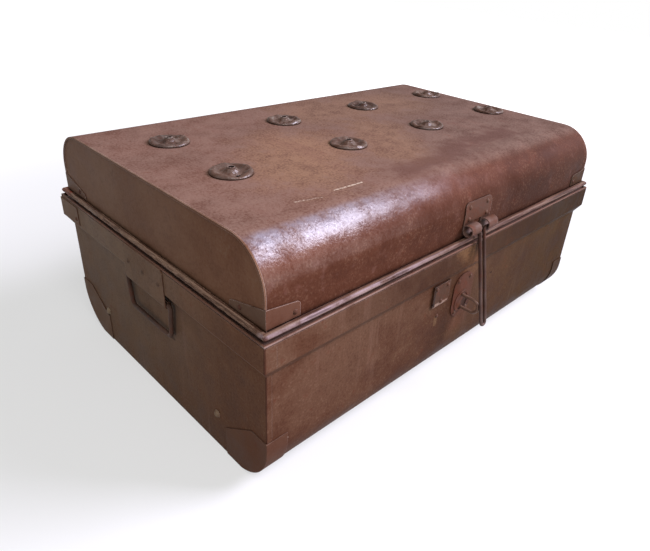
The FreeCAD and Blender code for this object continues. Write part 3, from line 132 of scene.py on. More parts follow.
def vectors(tree, operation, *values):
    return put(tree, "ShaderNodeVectorMath", dict(enumerate(values)), operation=operation)


def ramp(tree, value, low, high):
    """0 at low, 1 at high, smooth between; low may be the larger."""
    node = put(tree, "ShaderNodeMapRange", {0: value, 1: low, 2: high, 3: 0.0, 4: 1.0},
               interpolation_type="SMOOTHSTEP")
    return node.outputs[0]


def mix(tree, share, first, second, kind="MIX"):
    return put(tree, "ShaderNodeMixRGB", {0: share, 1: first, 2: second}, blend_type=kind).outputs[0]


def noise(tree, place, scale, detail, rough, stretch=None, warp=0.0):
    if stretch is not None:
        place = put(tree, "ShaderNodeMapping", {"Vector": place, "Scale": stretch}).outputs[0]
    node = put(tree, "ShaderNodeTexNoise", {"Vector": place, "Scale": scale, "Detail": detail,
                                            "Roughness": rough, "Distortion": warp})
    return node.outputs[0]


def distance_to(tree, place, start, end):
    """How far a point is from a straight line between two places, which may be one place."""
    start, end = Vector(start), Vector(end)
    along = end - start
    if along.length == 0:
        return vectors(tree, "DISTANCE", place, start).outputs["Value"]
    offset = vectors(tree, "SUBTRACT", place, start).outputs[0]
    share = maths(tree, "MULTIPLY", vectors(tree, "DOT_PRODUCT", offset, along).outputs["Value"],
                  1 / along.length_squared, clamp=True)
    foot = put(tree, "ShaderNodeVectorMath", {0: along, "Scale": share}, operation="SCALE").outputs[0]
    return vectors(tree, "DISTANCE", offset, foot).outputs["Value"]


# ---------------------------------------------------------------- colours
RUST = linear(98, 50, 34)
RED_RUST = linear(134, 62, 46)
# Dark brown for dirt, and for shade painted in crevices, beside the handle, under the staple and by the lock
# cover
DIRT_AND_SHADE = linear(30, 19, 15)
DUST = linear(156, 128, 114)
OCHRE = linear(164, 124, 90)
BARE = linear(186, 162, 152)
CREAM = linear(206, 186, 166)
# Dark brown of the shade painted down the front left corner
CORNER_SHADE = linear(66, 34, 23)


# ---------------------------------------------------------------- places on the trunk
def middle(node):
    """The middle of a node's box, seen from above."""
    low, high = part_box(node)
    return (low[0] + high[0]) / 2, (low[1] + high[1]) / 2


BAND_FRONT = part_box("body_wrap")[0][1]
BAND_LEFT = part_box("body_end_left")[0][0]
BAND_STEP = 0.009
WALL_FRONT = BAND_FRONT + BAND_STEP
PLATE_FRONT = WALL_FRONT - 0.003
# Where marks run on the left end: half a millimetre outside its wall, and inside its band
WALL_LINE = BAND_LEFT + BAND_STEP - 0.0005
BAND_LINE = BAND_LEFT + 0.0005
LID_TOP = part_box("lid_skin")[1][2]
# Places inside the lid and the box, which their inner faces look towards
LID_MIDDLE = (0.0, 0.0, 0.27)
BOX_MIDDLE = (0.0, 0.0, 0.13)
BEAD_LOW, BEAD_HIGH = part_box("lid_bead")
BEAD_RADIUS = (BEAD_HIGH[2] - BEAD_LOW[2]) / 2
BEAD_LEVEL = (BEAD_HIGH[2] + BEAD_LOW[2]) / 2
# How far the middle of the rolled edge is from the trunk's middle, to the sides and to the front and back
BEAD_REACH = (BEAD_HIGH[0] - BEAD_RADIUS, BEAD_HIGH[1] - BEAD_RADIUS)
HASP_LEFT, HASP_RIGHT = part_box("hasp_plate")[0][0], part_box("hasp_plate")[1][0]
# How far forward and how high the middle of the hasp's pivot is
HASP_PIVOT = (-0.2564, 0.2577)
STAPLE = middle("staple_eye")[0]
LOCK_LEFT, LOCK_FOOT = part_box("lock_plate")[0][0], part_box("lock_plate")[0][2]


# ---------------------------------------------------------------- marks and dents on the trunk
# Each mark: start, end, half its width, how far it fades out, colour, share, how broken it is
LID_OCHRE = (
    ((-0.19, -0.09, LID_TOP), (-0.13, -0.02, LID_TOP), 0.03, 0.09, OCHRE, 0.4, 0.8),
    ((0.02, 0.12, LID_TOP), (0.2, 0.1, LID_TOP), 0.03, 0.1, OCHRE, 0.25, 0.8),
    ((-0.02, -0.12, LID_TOP), (0.04, -0.02, LID_TOP), 0.02, 0.06, OCHRE, 0.3, 0.8),
)
LID_DARK_STREAK = ((-0.07, -0.182, LID_TOP), (0.22, -0.15, LID_TOP - 0.002), 0.004, 0.05,
                   linear(92, 60, 54), 0.55, 0.4)
LID_SCRATCHES = (
    ((-0.269, -0.173, LID_TOP), (-0.234, -0.181, LID_TOP), 0.0007, 0.0009, CREAM, 0.9, 0.9),
    ((-0.206, -0.174, LID_TOP), (-0.159, -0.175, LID_TOP), 0.0010, 0.0010, CREAM, 0.9, 0.9),
)

# Each dent in the lid's front curve: start, end, half its width, depth
LID_DENTS = (
    ((-0.012, -0.215, 0.333), (-0.030, -0.243, 0.300), 0.020, 0.0022),
    ((0.200, -0.212, 0.335), (0.190, -0.235, 0.315), 0.022, 0.0025),
    ((-0.115, -0.238, 0.312), (-0.100, -0.243, 0.300), 0.018, 0.0012),
    ((-0.250, -0.215, 0.331), (-0.235, -0.230, 0.322), 0.030, 0.0012),
    ((0.080, -0.240, 0.310), (0.110, -0.246, 0.290), 0.028, 0.0016),
)

# Stains round the hasp, the staple and the stud, a scratch near the corner and two spots that may be holes
HASP_STAIN = ((-0.02, BAND_FRONT, 0.232), (0.03, PLATE_FRONT, 0.186), 0.008, 0.02,
              linear(146, 108, 74), 0.45, 0.6)
STAPLE_RUST = ((STAPLE, WALL_FRONT, 0.19), (STAPLE, WALL_FRONT, 0.10), 0.02, 0.02,
               linear(112, 66, 48), 0.25, 0.5)
STUD_STAIN = ((-0.0529, WALL_FRONT, 0.123), (-0.0529, WALL_FRONT, 0.111), 0.003, 0.002,
              linear(122, 94, 66), 0.6, 0.4)
CORNER_SCRATCH = ((-0.363, WALL_FRONT, 0.068), (-0.339, WALL_FRONT, 0.072), 0.0005, 0.001,
                  CREAM, 0.6, 0.5)
LEFT_HOLE, RIGHT_HOLE = (0.0768, WALL_FRONT, 0.1438), (0.091, WALL_FRONT, 0.149)
FRONT_MARKS = (HASP_STAIN, STAPLE_RUST, CORNER_SCRATCH, STUD_STAIN,
               (LEFT_HOLE, LEFT_HOLE, 0.002, 0.002, DIRT_AND_SHADE, 0.9, 0.2),
               (RIGHT_HOLE, RIGHT_HOLE, 0.0015, 0.002, DIRT_AND_SHADE, 0.9, 0.2))

# Painted shadow and dirt on the left end beside the handle's arms and grip
HANDLE_SHADOW_AND_DIRT = (
    ((WALL_LINE, 0.062, 0.166), (WALL_LINE, 0.058, 0.128), 0.0022, 0.0018, DIRT_AND_SHADE, 0.65, 0.2),
    ((WALL_LINE, 0.055, 0.123), (WALL_LINE, -0.048, 0.121), 0.0018, 0.0018, DIRT_AND_SHADE, 0.65, 0.2),
    ((WALL_LINE, -0.057, 0.178), (WALL_LINE, -0.051, 0.133), 0.0022, 0.0018, DIRT_AND_SHADE, 0.65, 0.2),
)

# Painted shade: dark lines down the front left corner's fold, on the wall and on the band
CORNER_LINES = (
    ((WALL_LINE, WALL_FRONT, 0.184), (WALL_LINE, WALL_FRONT, 0.0), 0.0012, 0.0016, CORNER_SHADE, 0.75, 0.2),
    ((BAND_LINE, BAND_FRONT, 0.236), (BAND_LINE, BAND_FRONT, 0.197), 0.0012, 0.0016, CORNER_SHADE, 0.75, 0.2),
)

# Wear on the hasp's knuckles, painted shade on the staple's plate under its loops, and the lock cover's pale
# foot, the dark spot at its corner and painted shadow up its left edge
KNUCKLE_WEAR = ((HASP_LEFT, *HASP_PIVOT), (HASP_RIGHT, *HASP_PIVOT), 0.0085, 0.002,
                linear(112, 88, 80), 0.75, 0.3)
STAPLE_SHADE = ((STAPLE + 0.0105, PLATE_FRONT, 0.1242), (STAPLE + 0.0225, PLATE_FRONT, 0.1202), 0.007, 0.008,
               DIRT_AND_SHADE, 0.7, 0.2)
LOCK_MARKS = (
    ((LOCK_LEFT + 0.0025, PLATE_FRONT, LOCK_FOOT + 0.002),
     (LOCK_LEFT + 0.0345, PLATE_FRONT, LOCK_FOOT + 0.003), 0.0015, 0.003, linear(180, 152, 134), 0.6, 0.5),
    ((LOCK_LEFT + 0.0025, PLATE_FRONT, LOCK_FOOT + 0.003),
     (LOCK_LEFT + 0.0015, PLATE_FRONT, LOCK_FOOT + 0.005), 0.002, 0.0015, DIRT_AND_SHADE, 1.0, 0.1),
    # Painted shadow up the lock cover's left edge, where it stands off the wall
    ((LOCK_LEFT + 0.002, PLATE_FRONT, LOCK_FOOT + 0.035),
     (LOCK_LEFT + 0.002, PLATE_FRONT, LOCK_FOOT + 0.003), 0.0010, 0.0012, DIRT_AND_SHADE, 0.85, 0.2),
)

# Rust on the lid's rolled edge, at its corners on the left
FAR_BEAD_RUST = ((-BEAD_REACH[0], BEAD_REACH[1], 0.24), (-BEAD_REACH[0], BEAD_REACH[1] - 0.016, 0.24),
                 0.008, 0.008, RED_RUST, 0.9, 0.4)
NEAR_BEAD_CORNER = (BEAD_LOW[0], BEAD_LOW[1], 0.24)
NEAR_BEAD_RUST = (NEAR_BEAD_CORNER, NEAR_BEAD_CORNER, 0.003, 0.005, linear(84, 48, 40), 0.9, 0.1)


# ---------------------------------------------------------------- finishes
# Scales of the noises, in features to the metre, and their heights in metres
CLOUDS, PATCHES, GRAIN, LINES, SPOTS = 6.0, 24.0, 310.0, 60.0, 90.0
CLOUD_HEIGHT = 0.004
GRAIN_HEIGHT = 0.0012
COAT_ROUGHNESS = 0.24


class Finish:
    """One old painted or bare steel surface, built up in layers from the paint to the dirt and painted shade
    on it.
    """

    def __init__(self, name):
        self.material = bpy.data.materials.new(name)
        self.material.use_nodes = True
        self.tree = self.material.node_tree
        self.shader = self.tree.nodes["Principled BSDF"]
        coordinates = put(self.tree, "ShaderNodeTexCoord").outputs
        self.place = coordinates["Object"]
        self.facing = coordinates["Normal"]
        facing = put(self.tree, "ShaderNodeSeparateXYZ", {0: self.facing}).outputs
        self.up, self.backwards = facing["Z"], facing["Y"]
        self.sideways = ramp(self.tree, maths(self.tree, "ABSOLUTE", facing["X"]), 0.45, 0.8)
        self.clouds = noise(self.tree, self.place, CLOUDS, 5.0, 0.62, warp=0.4)
        self.patches = noise(self.tree, self.place, PATCHES, 6.0, 0.68)
        self.grain = noise(self.tree, self.place, GRAIN, 3.0, 0.65)
        self.colour = None
        self.rough_extra = None
        self.eased = None
        self.lacquer = None
        self.lean = (0.0, 0.0, 0.0)
        self.height = times(self.tree, self.clouds, CLOUD_HEIGHT)

    def along(self, axis, start, end):
        """0 to 1 between two places along an axis of the trunk."""
        place = put(self.tree, "ShaderNodeSeparateXYZ", {0: self.place}).outputs[axis]
        return ramp(self.tree, place, start, end)

    def lying(self, start, end):
        """0 to 1 between two slopes; a face that looks straight up has slope 1, an upright one 0."""
        return ramp(self.tree, self.up, start, end)

    def patchy(self, start, end):
        """0 to 1 between two levels of the patches."""
        return ramp(self.tree, self.patches, start, end)

    def paint(self, fresh, faded, side_fresh=None, side_faded=None):
        """Two tones in clouds, with another pair on the faces that look to the left and right."""
        tree = self.tree
        tone = ramp(tree, blend(tree, self.clouds, self.patches, 0.6), 0.4, 0.6)
        self.colour = mix(tree, tone, fresh, faded)
        if side_fresh:
            self.colour = mix(tree, self.sideways, self.colour, mix(tree, tone, side_fresh, side_faded))

    def cover(self, share, colour):
        self.colour = mix(self.tree, share, self.colour, colour)

    def tint(self, share, colour):
        """The colour multiplies what is there, so it darkens."""
        self.colour = mix(self.tree, share, self.colour, colour, "MULTIPLY")

    def darken_foot(self):
        """The box gets darker and redder towards the floor."""
        self.tint(self.along("Z", 0.2, 0.0), linear(220, 202, 188))

    def darken_front(self):
        """Painted shade: the front's paint gets darker and yellower to the right, where less light falls;
        returns where the front is.
        """
        front = self.along("Y", -0.22, -0.245)
        self.tint(times(self.tree, self.along("X", -0.35, 0.38), front), linear(170, 170, 136))
        return front

    def redden_ends(self):
        """The paint of the ends gets darker and redder towards the front."""
        self.tint(times(self.tree, self.sideways, self.along("Y", 0.1, -0.25)), linear(226, 190, 168))

    def film(self, colour, share_up, share_all):
        """Dust that settles on faces that look up and dulls them, and a thin mottle of it anywhere."""
        tree = self.tree
        lying = self.lying(0.8, 0.99)
        mottle = ramp(tree, blend(tree, self.patches, self.grain, 0.55), 0.36, 0.64)
        share = maths(tree, "ADD", times(tree, lying, share_up), share_all)
        self.cover(times(tree, share, maths(tree, "ADD", times(tree, mottle, 0.5), 0.55)), colour)
        self.rough_extra = times(tree, lying, 0.45)

    def lining(self, centre, fresh, faded):
        """Plainer paint on the faces that look inwards, towards the middle of the box."""
        tree = self.tree
        outwards = vectors(tree, "SUBTRACT", self.place, centre).outputs[0]
        agreement = vectors(tree, "DOT_PRODUCT", outwards, self.facing).outputs["Value"]
        plain = mix(tree, ramp(tree, self.clouds, 0.4, 0.6), fresh, faded)
        self.cover(ramp(tree, agreement, 0.0, -0.01), plain)

    def mottle(self, dark, pale, share):
        """Fine speckle: dark grains where the noise is low and pale ones where it is high."""
        tree = self.tree
        speck = blend(tree, self.grain, self.patches, 0.6)
        self.cover(times(tree, ramp(tree, speck, 0.5, 0.36), share), dark)
        self.cover(times(tree, ramp(tree, speck, 0.52, 0.66), share), pale)

    def mark(self, start, end, width, fade, colour, share, broken):
        """A stain, streak or scratch along a line, ragged and broken by noise."""
        tree = self.tree
        away = distance_to(tree, self.place, start, end)
        ragged = times(tree, maths(tree, "SUBTRACT", self.patches, 0.5), 3 * fade)
        inside = ramp(tree, maths(tree, "ADD", away, ragged), width + fade, width)
        uneven = blend(tree, self.grain, self.patches, 0.5)
        gaps = ramp(tree, uneven, 0.5 - broken * 0.12, 0.5 + broken * 0.06)
        self.cover(times(tree, inside, blend(tree, gaps, inside, broken), share), colour)

    def dent(self, start, end, width, depth):
        """A knock or crease pressed into the sheet along a line."""
        tree = self.tree
        near = ramp(tree, distance_to(tree, self.place, start, end), width, 0.0)
        self.height = maths(tree, "SUBTRACT", self.height, times(tree, near, depth))

    def streaks(self, axis_scale, colour, share):
        """Fine lines drawn out along one direction."""
        tree = self.tree
        lines = noise(tree, self.place, LINES, 3.0, 0.6, stretch=axis_scale)
        gate = ramp(tree, self.clouds, 0.42, 0.6)
        self.cover(times(tree, ramp(tree, lines, 0.56, 0.68), gate, share), colour)

    def spots(self, colour, share, low=0.56, high=0.64):
        """Small rust spots that gather in patches."""
        tree = self.tree
        fine = noise(tree, self.place, SPOTS, 6.0, 0.78)
        self.cover(times(tree, ramp(tree, blend(tree, fine, self.patches, 0.65), low, high), share), colour)

    def crevice_dirt_and_shade(self, reach, share):
        """Dark dirt and painted shade in the crevices, where ambient occlusion finds them closed in."""
        closed = put(self.tree, "ShaderNodeAmbientOcclusion", {"Distance": reach}, samples=6).outputs["AO"]
        self.cover(times(self.tree, ramp(self.tree, closed, 0.82, 0.3), share), DIRT_AND_SHADE)

    def edges(self, radius, share):
        """Sharp edges look eased, and the paint is rubbed off along them."""
        tree = self.tree
        self.eased = put(tree, "ShaderNodeBevel", {"Radius": radius}, samples=4).outputs[0]
        flat = put(tree, "ShaderNodeNewGeometry").outputs["Normal"]
        turn = vectors(tree, "DOT_PRODUCT", self.eased, flat).outputs["Value"]
        self.cover(times(tree, ramp(tree, turn, 0.985, 0.86), self.patchy(0.3, 0.55), share), BARE)

    def finish(self, roughness, spread, relief, lumps, shine, metallic=0.0):
        """Close the layers: roughness that varies, grain, soft dents in the sheet, and lacquer."""
        tree = self.tree
        tree.links.new(self.colour, self.shader.inputs["Base Color"])
        rough = maths(tree, "ADD", times(tree, self.patchy(0.32, 0.66), spread), roughness)
        if self.rough_extra is not None:
            rough = maths(tree, "ADD", rough, self.rough_extra, clamp=True)
        tree.links.new(rough, self.shader.inputs["Roughness"])
        self.shader.inputs["Metallic"].default_value = metallic
        self.shader.inputs["Specular IOR Level"].default_value = shine
        sheet = {"Height": self.height, "Strength": lumps, "Distance": 1.0}
        if self.eased is not None:
            sheet["Normal"] = self.eased
        dented = put(tree, "ShaderNodeBump", sheet).outputs[0]
        rough_skin = blend(tree, self.grain, self.patches, 0.5)
        skin = put(tree, "ShaderNodeBump", {"Height": rough_skin, "Strength": relief,
                                            "Distance": GRAIN_HEIGHT, "Normal": dented}).outputs[0]
        tree.links.new(skin, self.shader.inputs["Normal"])
        if self.lacquer is not None:
            tree.links.new(self.lacquer, self.shader.inputs["Coat Weight"])
            tilted = vectors(tree, "NORMALIZE", vectors(tree, "ADD", skin, self.lean).outputs[0])
            tree.links.new(tilted.outputs[0], self.shader.inputs["Coat Normal"])
            self.shader.inputs["Coat Roughness"].default_value = COAT_ROUGHNESS
        return self.material


def lid_paint():
    """Red-brown enamel: dusty and ochre on top, clean and glossy round the front's curve."""
    coat = Finish("lid_paint")
    tree = coat.tree
    coat.paint(linear(96, 52, 36), linear(112, 66, 50))
    # Painted shade: the lid darkens to the right, where less light falls on it
    coat.tint(coat.along("X", -0.3, 0.25), linear(198, 202, 204))
    # Painted shade: the lid's upright faces are darkened against its top
    coat.tint(coat.lying(0.75, 0.1), linear(200, 196, 182))
    coat.film(linear(148, 126, 115), 0.5, 0.04)
    coat.mottle(linear(64, 34, 25), linear(140, 104, 84), 0.3)
    for mark in LID_OCHRE:
        coat.mark(*mark)
    coat.mark(*LID_DARK_STREAK)
    coat.streaks((1.0, 0.12, 1.0), linear(120, 84, 74), 0.3)
    for mark in LID_SCRATCHES:
        coat.mark(*mark)
    coat.lining(LID_MIDDLE, linear(84, 52, 40), linear(100, 68, 54))
    coat.spots(RUST, 0.4)
    coat.crevice_dirt_and_shade(0.014, 0.85)
    coat.edges(0.0012, 0.5)
    leftwards = coat.along("X", 0.03, -0.34)
    # A pale violet bloom on the front's curve near the left, which also paints the sheen under the lacquer's
    # highlight
    bloom_and_sheen = times(tree, coat.lying(0.985, 0.92), coat.lying(0.55, 0.8), leftwards, coat.patchy(0.3, 0.65))
    coat.cover(times(tree, bloom_and_sheen, 0.55), linear(142, 144, 166))
    fine = ramp(tree, blend(tree, coat.grain, coat.patches, 0.4), 0.38, 0.6)
    speckle = maths(tree, "ADD", times(tree, fine, 0.8), 0.24)
    coat.lacquer = times(tree, coat.lying(0.99, 0.93), coat.lying(0.1, 0.4), leftwards, speckle)
    # The lacquer's normal leans to the front, which lifts its highlight up the curve
    coat.lean = (0.0, -0.2, 0.0)
    for dent in LID_DENTS:
        coat.dent(*dent)
    return coat.finish(0.4, 0.2, relief=0.8, lumps=0.9, shine=0.03)


def lid_end_paint():
    """Duller, more olive enamel on the lid's ends."""
    coat = Finish("lid_end_paint")
    coat.paint(linear(107, 77, 59), linear(120, 92, 74))
    coat.tint(coat.along("Y", 0.1, -0.25), linear(255, 234, 218))
    coat.film(DUST, 0.2, 0.05)
    coat.mottle(linear(72, 48, 34), linear(126, 104, 86), 0.3)
    coat.lining(LID_MIDDLE, linear(84, 52, 40), linear(100, 68, 54))
    coat.spots(RUST, 0.25)
    coat.crevice_dirt_and_shade(0.012, 0.4)
    # The pale rubbed edges here also paint the highlight along the seam round the lid's end
    coat.edges(0.0012, 0.8)
    return coat.finish(0.5, 0.15, relief=0.3, lumps=0.4, shine=0.05)


def box_paint(name, marks):
    """Enamel of the box below the lid: redder in front, olive and dull on the ends."""
    coat = Finish(name)
    coat.paint(linear(86, 50, 32), linear(103, 72, 54), linear(107, 84, 66), linear(123, 102, 84))
    coat.darken_foot()
    coat.redden_ends()
    coat.film(DUST, 0.2, 0.06)
    coat.mottle(linear(62, 34, 22), linear(134, 104, 84), 0.35)
    coat.streaks((1.0, 1.0, 0.08), linear(130, 98, 82), 0.28)
    front = coat.darken_front()
    band = coat.along("Z", 0.188, 0.196)
    coat.tint(times(coat.tree, band, coat.along("X", -0.34, -0.1), front), linear(208, 204, 204))
    for mark in marks:
        coat.mark(*mark)
    coat.lining(BOX_MIDDLE, linear(84, 54, 42), linear(100, 70, 56))
    coat.spots(RUST, 0.45)
    coat.crevice_dirt_and_shade(0.012, 0.45)
    coat.edges(0.0012, 0.2)
    for mark in CORNER_LINES:
        coat.mark(*mark)
    return coat.finish(0.4, 0.2, relief=0.35, lumps=0.5, shine=0.03)


def plate_paint(name, fresh, faded, side_fresh, side_faded, edge, like_ends=False):
    """The same enamel on the small plates, rubbed along their edges."""
    coat = Finish(name)
    coat.paint(linear(*fresh), linear(*faded), linear(*side_fresh), linear(*side_faded))
    coat.darken_foot()
    if like_ends:
        coat.redden_ends()
    coat.film(DUST, 0.3, 0.08)
    coat.darken_front()
    coat.spots(RUST, 0.5)
    coat.crevice_dirt_and_shade(0.008, 0.6)
    coat.edges(0.0010, edge)
    return coat.finish(0.42, 0.2, relief=0.35, lumps=0.2, shine=0.05)


def boss_paint():
    """Dark pressed sheet, glossy on the slopes that look to the front."""
    coat = Finish("boss_paint")
    coat.paint(linear(66, 42, 33), linear(92, 66, 54))
    coat.mottle(linear(40, 25, 20), linear(138, 116, 104), 0.35)
    coat.lacquer = times(coat.tree, coat.patchy(0.35, 0.6), ramp(coat.tree, coat.backwards, -0.05, -0.35))
    coat.spots(RUST, 0.5)
    coat.crevice_dirt_and_shade(0.008, 1.0)
    coat.edges(0.0012, 0.2)
    return coat.finish(0.4, 0.2, relief=0.9, lumps=0.4, shine=0.1)


def bead_steel():
    """The lid's rolled edge: brown on top, pale low on its outside as rubbed paint and a painted highlight,
    and painted shade below.
    """
    coat = Finish("lid_bead")
    coat.paint(linear(82, 54, 43), linear(98, 70, 58), linear(92, 66, 52), linear(106, 80, 64))
    tree = coat.tree
    front = coat.along("Y", -0.24, -0.247)
    # Pale band low on the front's outside: rubbed paint, and a painted highlight
    rubbed = times(tree, coat.lying(0.98, 0.75), coat.lying(-0.3, 0.0), front, coat.patchy(0.3, 0.6))
    kept = inverse(tree, times(tree, coat.along("X", -0.2, 0.0), 0.9))
    coat.cover(times(tree, rubbed, kept, 0.85), linear(168, 146, 150))
    # Painted shade on the edge's underside in front
    coat.cover(times(tree, coat.lying(-0.1, -0.6), front, 0.8), linear(58, 36, 36))
    # Painted highlights: pale lines at three slopes round the edge on the ends and back
    ridge_highlights = 0.0
    for level in (0.2, 0.58, 0.88):
        off = maths(tree, "ABSOLUTE", maths(tree, "SUBTRACT", coat.up, level))
        ridge_highlights = maths(tree, "ADD", ridge_highlights, ramp(tree, off, 0.11, 0.04))
    ridge_highlights = times(tree, ridge_highlights, inverse(tree, front), coat.patchy(0.3, 0.52))
    coat.cover(times(tree, ridge_highlights, 0.75), linear(160, 130, 112))
    coat.mark(*FAR_BEAD_RUST)
    coat.mark(*NEAR_BEAD_RUST)
    lines = mix(tree, front, noise(tree, coat.place, LINES, 3.0, 0.6, stretch=(5.0, 0.25, 6.0)),
                noise(tree, coat.place, LINES, 3.0, 0.6, stretch=(0.25, 5.0, 6.0)))
    coat.cover(times(tree, ramp(tree, lines, 0.5, 0.6), 0.45), linear(142, 118, 100))
    coat.cover(times(tree, ramp(tree, lines, 0.48, 0.38), 0.6), linear(52, 34, 27))
    coat.spots(RUST, 0.35)
    coat.crevice_dirt_and_shade(0.004, 0.35)
    return coat.finish(0.32, 0.25, relief=0.6, lumps=0.5, shine=0.06)


def rim_steel():
    """The wire in the band's edge: brown, and paler in front near the left corner, as rubbed paint and a
    painted highlight.
    """
    coat = Finish("rim_wire")
    coat.paint(linear(92, 62, 50), linear(108, 76, 62))
    front = times(coat.tree, coat.along("Y", -0.25, -0.255), coat.along("X", -0.05, -0.25))
    # Paler on the front near the left: rubbed paint, and a painted highlight on the wire
    rubbed = times(coat.tree, front, coat.patchy(0.35, 0.55), coat.lying(0.85, 0.5))
    coat.cover(times(coat.tree, rubbed, 0.5), linear(176, 150, 142))
    coat.spots(RUST, 0.5)
    coat.crevice_dirt_and_shade(0.006, 0.4)
    return coat.finish(0.35, 0.25, relief=0.4, lumps=0.1, shine=0.1)


# Each bare or rubbed steel: fresh tone, faded tone, rust, roughness, metal, dirt and painted crevice shade,
# wear
STEELS = {
    "rusty_plate": ((94, 50, 34), (84, 54, 38), 0.7, 0.45, 0.0, 0.9, 0.1),
    "bare_steel": ((76, 47, 35), (90, 60, 46), 0.5, 0.4, 0.0, 0.9, 0.6),
    "dark_steel": ((96, 76, 70), (70, 50, 44), 0.4, 0.3, 0.3, 0.9, 0.5),
    "hinge_steel": ((112, 88, 74), (92, 70, 58), 0.6, 0.4, 0.3, 0.9, 0.5),
    "inner_steel": ((112, 88, 80), (96, 74, 66), 0.6, 0.45, 0.1, 0.4, 0.5),
    "fastener_steel": ((84, 56, 43), (98, 70, 56), 0.5, 0.35, 0.0, 0.9, 0.2),
    "bail": ((56, 39, 32), (86, 64, 54), 0.4, 0.4, 0.0, 0.9, 0.6),
    "lid_corner_rivets": ((66, 38, 29), (88, 58, 46), 0.6, 0.45, 0.0, 0.9, 0.3),
    "handle_rivets": ((84, 66, 54), (92, 72, 60), 0.2, 0.5, 0.0, 0.9, 0.2),
    "end_rivets": ((150, 132, 110), (128, 108, 88), 0.3, 0.4, 0.1, 0.9, 0.5),
    "staple_eye": ((124, 96, 82), (96, 70, 58), 0.5, 0.35, 0.1, 0.6, 0.5),
    "boss_rivets": ((150, 132, 124), (122, 102, 94), 0.4, 0.25, 0.3, 0.9, 0.5),
    # The bore's near-black is painted shade inside the hollow rivets
    "bore": ((34, 24, 20), (22, 16, 14), 0.2, 0.7, 0.0, 0.9, 0.0),
    "lock_plate": ((72, 46, 32), (88, 60, 44), 0.5, 0.4, 0.0, 0.9, 0.5),
}
STEEL_MARKS = {"rusty_plate": (STAPLE_SHADE,), "bare_steel": (KNUCKLE_WEAR,), "lock_plate": LOCK_MARKS}

# Nodes with a finish of their own in place of their slot's
OWN_FINISHES = {
    "bail_left": "bail",
    "bail_right": "bail",
    "lid_bead": "lid_bead",
    "rim_wire": "rim_wire",
    "lid_corner_plate_front_left": "lid_corner",
    "lid_corner_plate_front_right": "lid_corner",
    "lid_corner_plate_rear_left": "lid_corner",
    "lid_corner_plate_rear_right": "lid_corner",
    "lid_corner_rivets": "lid_corner_rivets",
    "handle_rivets": "handle_rivets",
    "end_panel_rivets": "end_rivets",
    "staple_eye": "staple_eye",
    "boss_rivets": "boss_rivets",
    "lock_plate": "lock_plate",
}


def steel(name):
    """Bare or rubbed steel with brown oxide spots, and dirt and painted shade in its low spots."""
    fresh, faded, rust, roughness, metallic, dirt, wear = STEELS[name]
    coat = Finish(name)
    coat.paint(linear(*fresh), linear(*faded))
    for mark in STEEL_MARKS.get(name, ()):
        coat.mark(*mark)
    coat.spots(RUST, rust, 0.5, 0.6)
    coat.crevice_dirt_and_shade(0.006, dirt)
    coat.edges(0.0008, wear)
    return coat.finish(roughness, 0.25, relief=0.4, lumps=0.1, shine=0.1, metallic=metallic)


def make_finishes():
    """Every finish by its name: one for each material slot in use, and those of single nodes."""
    finishes = {name: steel(name) for name in STEELS}
    finishes["lid_paint"] = lid_paint()
    finishes["lid_end_paint"] = lid_end_paint()
    finishes["box_paint"] = box_paint("box_paint", FRONT_MARKS)
    finishes["end_paint"] = box_paint("end_paint", FRONT_MARKS + HANDLE_SHADOW_AND_DIRT)
    finishes["boss_paint"] = boss_paint()
    finishes["lid_bead"] = bead_steel()
    finishes["rim_wire"] = rim_steel()
    finishes["guard_paint"] = plate_paint("guard_paint", (88, 52, 34), (104, 72, 54), (104, 79, 60),
                                          (119, 96, 77), 0.2, like_ends=True)
    finishes["lid_corner"] = plate_paint("lid_corner", (86, 50, 34), (102, 67, 51), (90, 64, 48),
                                         (102, 78, 62), 0.9)
    return finishes


def dress_solids(finishes):
    """Each solid takes the finish of its slot in the record, unless it has one of its own."""
    for row in frame["record"]["subparts"]:
        mesh = NODES[row["node"]].data
        mesh.materials.clear()
        mesh.materials.append(finishes[OWN_FINISHES.get(row["node"], row["material_slot"])])


# ---------------------------------------------------------------- meshes from rings of points
def ring_faces(rings, steps, first=0, closed=True, flipped=False):
    """Four-sided faces between neighbouring rings; closed joins the last ring to the first."""
    faces = []
    for ring in range(rings if closed else rings - 1):
        low, high = first + ring * steps, first + (ring + 1) % rings * steps
        for step in range(steps):
            beside = (step + 1) % steps
            if flipped:
                faces.append((low + step, low + beside, high + beside, high + step))
            else:
                faces.append((low + step, high + step, high + beside, low + beside))
    return faces


def make_piece(name, points, faces, *materials):
    """A smooth mesh piece in the scene."""
    mesh = bpy.data.meshes.new(name)
    mesh.from_pydata(points, [], faces)
    mesh.shade_smooth()
    for material in materials:
        mesh.materials.append(material)
    piece = bpy.data.objects.new(name, mesh)
    bpy.context.scene.collection.objects.link(piece)
    return piece


def round_point(centre, floor, radius, angle, height):
    """A point at a radius, an angle and a height in millimetres over a centre on a floor."""
    return (centre[0] + radius * math.cos(angle) * MILLIMETRE,
            centre[1] + radius * math.sin(angle) * MILLIMETRE, floor + height * MILLIMETRE)


# ---------------------------------------------------------------- dented bosses
# Profiles and dents are in millimetres, a profile as (radius, height)
BOSS_RADIUS = 28.5
BOSS_TOP = ((1.7, 6.5), (4.8, 6.5), (6.0, 6.4), (7.2, 5.8), (8.2, 4.7), (9.4, 3.4), (11.2, 2.3), (13.4, 1.7),
            (16.0, 1.6), (18.2, 2.2), (20.2, 3.4), (22.0, 4.3), (24.0, 4.6), (25.8, 4.3), (27.2, 3.6),
            (28.1, 2.5), (BOSS_RADIUS, 1.3), (BOSS_RADIUS, 0.0))
BOSS_SHEET = 1.0
BOSS_STEPS = 120
BOSS_SEED = 40
